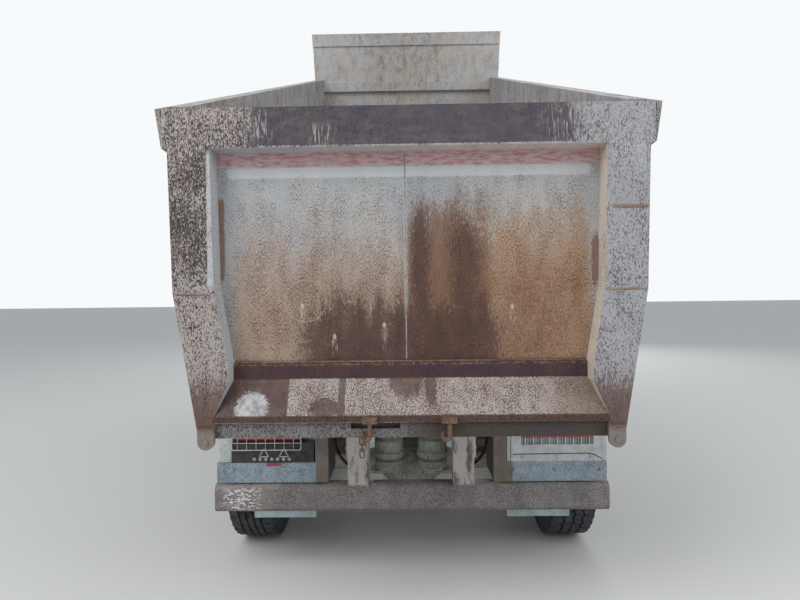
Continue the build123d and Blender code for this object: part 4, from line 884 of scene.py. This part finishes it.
def hooks():
    """Bent tails of the two latch hooks, and the links that hang beside the left one."""
    bm = bmesh.new()
    y = (node_box("gate_fittings")[0].y + GATE_FACE) / 2
    for x in HOOKS_X:
        bend = [(x, y, 1.10), (x, y, 1.075)] + arc((x - HOOK_BEND, y, 1.062), HOOK_BEND, 0, -180, 8)
        tube(bm, bend + [(x - 2 * HOOK_BEND, y, 1.085)], HOOK_WIRE, 10)
        turned(bm, (x, y - 0.012, 1.142), (0, -1, 0), HOOK_BOLT, 6)
    for i in range(LINKS):
        turn = Vector((1, 0, 0)) if i % 2 else Vector((0, 1, 0))
        centre = Vector((LINKS_X, y, LINKS_TOP - LINK_PITCH * i))
        half = Vector((0, 0, 0.012))
        top = arc(centre + half, 0.011, 0, 180, 6, across=turn)
        low = arc(centre - half, 0.011, 180, 360, 6, across=turn)
        tube(bm, top + low, 4 * MM, 6, closed=True)
    piece("hook_tails", bm, fitting_rust, "tailgate")


# Tail lamps

LAMP_LOW = node_box("tail_lamp_left")[0]
LAMP_FACE = LAMP_LOW.y
GUARD_X, GUARD_Z = (LAMP_LOW.x + 2 * MM, -0.69), (0.79, 0.868)
CELLS, CELL_START, CELL_PITCH, CELL_Z = 7, -0.987, 37 * MM, 0.732
TRIANGLES_X, TRIANGLE_HALF, TRIANGLE_Z = (-0.925, -0.80), 30 * MM, (0.748, 0.797)
SCREWS_X = (0.70, 0.92, 1.02, 1.13)
BARS, BARS_START, BARS_WIDE, BARS_Z = 27, 0.694, 0.45, (0.812, 0.857)
SEAM_BEND = (0.64, 0.752), (1.10, 0.756), (1.15, 0.748), (1.192, 0.722)

# Plates beside the lamps: x range and z range
SIDE_PLATES = (((-1.212, -1.134), (0.712, 0.866)), ((0.604, 0.628), (0.70, 0.87)),
               ((1.196, 1.226), (0.712, 0.866)))

# Hoses: start, lowest pull and end, as (x, z)
HOSE_Y, HOSE_STEPS = -3.3, 14
HOSES = ((-0.50, 0.86), (-0.50, 0.67), (-0.36, 0.62)), ((0.50, 0.84), (0.50, 0.68), (0.38, 0.63))


def lamp_guard():
    """Wire guard over the left lens: three long wires with rounded ends and seven uprights."""
    bm = bmesh.new()
    y = LAMP_FACE - 6 * MM
    (left, right), (low, high) = GUARD_X, GUARD_Z
    r = 12 * MM
    corners = ((right - r, high - r, 90), (right - r, low + r, 0),
               (left + r, low + r, -90), (left + r, high - r, 180))
    rim = [p for x, z, start in corners for p in arc((x, y, z), r, start, start - 90, 4)]
    tube(bm, rim, 3.5 * MM, 8, closed=True)
    tube(bm, line((left, y, 0.834), (right, y, 0.834), 0.05), 2.5 * MM, 6)
    for i in range(7):
        x = left + (right - left) * (i + 0.6) / 7.4
        tube(bm, line((x, y, low), (x, y, high), 0.03), 2.2 * MM, 6)
    for x in (left + 0.02, right - 0.02):
        tube(bm, line((x, y, low), (x, LAMP_FACE + 4 * MM, low), 0.003), 2.5 * MM, 6)
    piece("lamp_guard", bm, cream_lamp_paint)


def lamp_cells():
    """Seven small lens cells, and two warning triangles in the left housing whose pale cream outlines are
    a painted highlight on the black lamp.
    """
    bm = bmesh.new()
    for i in range(CELLS):
        turned(bm, (CELL_START + CELL_PITCH * i, LAMP_FACE, CELL_Z), (0, -1, 0), LENS_CELL, 14)
    piece("lamp_cells", bm, clear_lens)
    # The triangles' outlines are pale cream tubes on the black housing: a painted highlight where light
    # catches their edges.
    bm = bmesh.new()
    foot, tip = TRIANGLE_Z
    for x in TRIANGLES_X:
        corners = [(x - TRIANGLE_HALF, foot), (x + TRIANGLE_HALF, foot), (x, tip)]
        points = [Vector((a, LAMP_FACE - 3 * MM, b)) for a, b in corners]
        tube(bm, [p for a, b in zip(points, points[1:] + points[:1]) for p in line(a, b, 0.012)[:-1]],
             3 * MM, 6, closed=True)
    piece("lamp_triangles_painted_highlight", bm, cream_lamp_paint)


def red_strips():
    """Red lens strips along both lamps' tops, and the marker on the left panel."""
    bm = bmesh.new()
    slab(bm, (LAMP_LOW.x + 0.02, LAMP_FACE + 0.024, 0.842), (-0.70, LAMP_FACE + 0.032, 0.864), 2 * MM)
    slab(bm, (0.70, LAMP_FACE - 1 * MM, 0.856), (1.14, LAMP_FACE + 0.012, 0.8635), 1.5 * MM)
    slab(bm, (-0.91, LAMP_FACE - 5 * MM, 0.690), (-0.82, LAMP_FACE + 1 * MM, 0.708), 3 * MM)
    piece("red_lens_strips", bm, red_lens)


def lamp_bars():
    """Fine bars between the coarse ones of the right lamp's recess, and a black tube along the seam below
    it as painted shade in its groove.
    """
    bm = bmesh.new()
    y = LAMP_FACE + 6 * MM
    for i in range(BARS):
        if i % 3 != 1:
            x = BARS_START + BARS_WIDE * (i + 0.5) / BARS
            tube(bm, line((x, y, BARS_Z[0]), (x, y, BARS_Z[1]), 0.02), 2.5 * MM, 6)
    for x in SCREWS_X:
        turned(bm, (x, LAMP_FACE, CELL_Z), (0, -1, 0), LAMP_SCREW, 6)
    piece("lamp_bars", bm, cream_lamp_paint)
    # A black tube marks the seam: painted shade in its groove.
    seam = bmesh.new()
    tube(seam, [(x, LAMP_FACE, z) for x, z in SEAM_BEND], 3 * MM, 6)
    piece("lamp_seam_shade", seam, black_moulding)


def lamp_side_plates():
    """Cream end plates beside both lamps."""
    bm = bmesh.new()
    for (left, right), (low, high) in SIDE_PLATES:
        slab(bm, (left, LAMP_FACE + 0.004, low), (right, LAMP_FACE + 0.008, high), 1 * MM)
    piece("lamp_side_plates", bm, cream_lamp_paint)


def air_hoses():
    """Two clipped air hoses that loop from the lamp legs to the frame ends."""
    bm = bmesh.new()
    for hose in HOSES:
        ways = [Vector((x, HOSE_Y, z)) for x, z in hose]
        curve = [ways[0] * (1 - u) ** 2 + ways[1] * 2 * u * (1 - u) + ways[2] * u ** 2
                 for u in (i / HOSE_STEPS for i in range(HOSE_STEPS + 1))]
        tube(bm, curve, 9 * MM, 10)
        for at in (curve[0], curve[-1]):
            turned(bm, at + Vector((0, 0.02, 0)), (0, -1, 0), HOSE_END, 12)
    piece("air_hoses", bm, black_moulding)


# Cab fittings

MIRROR_IN, MIRROR_OUT, MIRROR_Z = 145 * MM, 15 * MM, (2.278, 2.722)
WIPERS_X, WIPER_Z = (-0.62, 0.12), 2.0
SCREEN_FOOT, SCREEN_LEAN = 4.256, -130 / 830
HANDLE_X, HANDLE_Z = 1.2, 1.735
HANDLE_BEND = (0, 3.07), (0.022, 3.085), (0.022, 3.185), (0, 3.20)
RINGS_X = (0.885, 1.015)


def mirror_glasses():
    """Silvered glass in both mirror frames."""
    bm = bmesh.new()
    low, high = node_box("mirrors")
    for side in (-1, 1):
        x = sorted((side * (high.x - MIRROR_IN), side * (high.x - MIRROR_OUT)))
        slab(bm, (x[0], low.y - 3 * MM, MIRROR_Z[0]), (x[1], low.y + 1 * MM, MIRROR_Z[1]), 1.5 * MM)
    piece("mirror_glasses", bm, mirror_silver)


def screen_y(z):
    """Where the leaning windscreen stands, for a height above its foot."""
    return SCREEN_FOOT + SCREEN_LEAN * z


def wipers():
    """Two arms from the scuttle with their blades on the windscreen."""
    bm = bmesh.new()
    for x in WIPERS_X:
        turned(bm, (x, SCREEN_FOOT - 0.004, WIPER_Z), (0, 1, 0), WIPER_PIVOT, 16)
        tip = Vector((x + 0.34, screen_y(0.30) + 0.014, 2.32))
        foot, elbow = (x, SCREEN_FOOT + 0.01, WIPER_Z), (x + 0.16, screen_y(0.1) + 0.022, 2.15)
        tube(bm, [foot, elbow, tip], 6 * MM, 8)
        a, b = tip + Vector((-0.26, 0.02, -0.16)), tip + Vector((0.2, -0.02, 0.12))
        tube(bm, [Vector((p.x, screen_y(p.z - 2.05) + 0.008, p.z)) for p in line(a, b, 0.04)], 6 * MM, 6)
    piece("wipers", bm, black_moulding)


def door_handles():
    """Pull handles behind the door panes' corners."""
    for side, name in ((-1, "door_left"), (1, "door_right")):
        bm = bmesh.new()
        x = side * HANDLE_X
        faces = sorted((x - side * 2 * MM, x + side * 4 * MM))
        tube(bm, [(x + side * out, y, HANDLE_Z) for out, y in HANDLE_BEND], 8 * MM, 8)
        slab(bm, (faces[0], 3.05, 1.70), (faces[1], 3.22, 1.77), 1.5 * MM)
        piece(name + "_handle", bm, black_moulding, name)


def headlamp_rings():
    """Two chromed rings with bulb hoods on each headlamp."""
    bm = bmesh.new()
    low, high = node_box("headlamps")
    for side in (-1, 1):
        for x in RINGS_X:
            at = (side * x, high.y, (low.z + high.z) / 2)
            turned(bm, at, (0, 1, 0), LAMP_RING, 32)
            turned(bm, at, (0, 1, 0), BULB_HOOD, 20)
    piece("headlamp_rings", bm, stage_chrome)


def marker_lamps():
    """Amber lamps at the bumper's ends."""
    bm = bmesh.new()
    for side in (-1, 1):
        x = sorted((side * 1.095, side * 1.17))
        slab(bm, (x[0], 4.292, 0.6), (x[1], 4.302, 0.72), 4 * MM)
    piece("turn_lamps", bm, amber_lens)


def cushion(name, low, high, crown):
    """Stuffed pad: a rounded block that swells in its middle, with a piped edge."""
    low, high = Vector(low), Vector(high)
    mid, half = (low + high) / 2, (high - low) / 2
    bm = bmesh.new()
    bmesh.ops.create_cube(bm, size=2.0)
    bmesh.ops.subdivide_edges(bm, edges=bm.edges, cuts=9, use_grid_fill=True)
    flat = min(range(3), key=lambda k: half[k])
    for v in bm.verts:
        p = v.co.copy()
        norm = sum(abs(c) ** 7 for c in p) ** (1 / 7)
        p = p / norm
        spread = math.prod(math.cos(p[k] * math.pi / 2) for k in range(3) if k != flat)
        groove = 0.25 * math.exp(-((abs(p[0]) - 0.55) / 0.06) ** 2)
        p[flat] *= 1 - crown + crown * (spread ** 0.5 if spread > 0 else 0) * (1 - groove)
        v.co = Vector(mid[k] + p[k] * half[k] for k in range(3))
    obj = piece(name, bm, seat_cloth, "chassis", 60)


def seat_pads():
    """Both seats: stuffed cushion and back on a plain base."""
    low, high = node_box("seats")
    base = bmesh.new()
    for side, word in ((-1, "left"), (1, "right")):
        x = sorted((side * 0.3, side * 0.8))
        cushion("seat_cushion_" + word, (x[0], 2.76, 1.65), (x[1], high.y, 1.80), 0.3)
        cushion("seat_back_" + word, (x[0] + 0.01, 2.70, 1.79), (x[1] - 0.01, 2.83, high.z), 0.3)
        slab(base, (x[0] + 0.06, 2.70, low.z), (x[1] - 0.06, 3.2, 1.66), 0.02)
        slab(base, (x[0] + 0.05, 2.665, 1.60), (x[1] - 0.05, 2.72, 2.3), 0.02)
    obj = piece("seat_bases", base, black_moulding)
    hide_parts("seats")


PANEL_BOLTS_X, PANEL_BOLT_Z = (-1.18, -0.95, -0.70, 0.64, 0.90, 1.18), 0.655
RAIL_X, RAIL_BOLTS, RAIL_START, RAIL_PITCH = 0.395, 24, -3.2, 0.28


def chassis_bolts():
    """Bolt heads on the lamp panels and along the frame rails."""
    bm = bmesh.new()
    face = node_box("lamp_panels")[0].y
    for x in PANEL_BOLTS_X:
        turned(bm, (x, face, PANEL_BOLT_Z), (0, -1, 0), PANEL_BOLT, 6)
    for side in (-1, 1):
        for i in range(RAIL_BOLTS):
            for z in (0.80, 0.95):
                at = (side * RAIL_X, RAIL_START + RAIL_PITCH * i, z)
                turned(bm, at, (side, 0, 0), RAIL_BOLT, 6)
    piece("chassis_bolts", bm, dusty_chassis_paint)


for axle, side in WHEELS:
    tyre(axle, side)
    wheel_nuts(axle, side)
for make_piece in (gate_welds, ledge_bead, doubler, hooks, lamp_guard, lamp_cells, red_strips,
                   lamp_bars, air_hoses, lamp_side_plates, mirror_glasses, wipers, door_handles,
                   headlamp_rings, marker_lamps, seat_pads, chassis_bolts):
    make_piece()

# Studio: pale floor, plain soft light
FLOOR_SIZE = 300
SKY_SEEN = (1.19, 1.22, 1.24, 1)
SKY_STRENGTH = 0.78


def floor():
    """Wide sheet of pale paper under the wheels."""
    bpy.ops.mesh.primitive_plane_add(size=FLOOR_SIZE, location=(0, 0, 0))
    ground = bpy.context.object
    ground.name = "studio_floor"
    paper, _ = surface("studio_floor_paper", 0.9, more=[("Base Color", paint("#d9d9d6"))])
    ground.data.materials.append(paper)


def world_light():
    """Even sky: pale grey on the truck, near white where the camera, gloss or glass looks at it."""
    world = bpy.data.worlds.new("studio_sky")
    bpy.context.scene.world = world
    world.use_nodes = True
    tree = world.node_tree
    back = tree.nodes["Background"]
    path = put(tree, "LightPath")
    seen = calc(tree, "MAXIMUM", path, calc(tree, "MAXIMUM", path.node.outputs["Is Glossy Ray"],
                                            path.node.outputs["Is Transmission Ray"]))
    tree.links.new(blend(tree, seen, "#c9ced4", SKY_SEEN), back.inputs["Color"])
    back.inputs["Strength"].default_value = SKY_STRENGTH


def lamp(name, place, aim, size, power):
    """Square area light at a place, turned to an aim."""
    light = bpy.data.lights.new(name, "AREA")
    light.size = size
    light.energy = power
    obj = bpy.data.objects.new(name, light)
    bpy.context.collection.objects.link(obj)
    obj.location = place
    obj.rotation_euler = (Vector(aim) - Vector(place)).to_track_quat("-Z", "Y").to_euler()


# Camera: a wide phone lens close behind the tailgate, on the truck's centreline
CAMERA_BACK = 7.1
CAMERA_UP = 1.74
LENS = 26.0
YAW = math.radians(0.89)
PITCH = math.radians(-0.2)
ROLL = math.radians(0.65)


def camera():
    """Set the camera level at its height, then give it the photograph's small turns."""
    data = bpy.data.cameras.new("camera")
    data.sensor_width = 36
    data.lens = LENS
    data.clip_end = 200
    eye = bpy.data.objects.new("camera", data)
    bpy.context.collection.objects.link(eye)
    turn = Matrix.Rotation(YAW, 4, "Z") @ Matrix.Rotation(math.radians(90) + PITCH, 4, "X")
    stand = Matrix.Translation((0, -CAMERA_BACK, CAMERA_UP))
    eye.matrix_world = stand @ turn @ Matrix.Rotation(-ROLL, 4, "Z")
    bpy.context.scene.camera = eye


floor()
world_light()
lamp("key", (-6, -10, 9), (0, -1, 2), 7, 720)
lamp("fill", (8, -8, 6), (0, -1, 2), 7, 340)
lamp("front", (3, 12, 7), (0, 3, 1.5), 7, 450)
camera()
bpy.context.scene.view_settings.view_transform = "Standard"
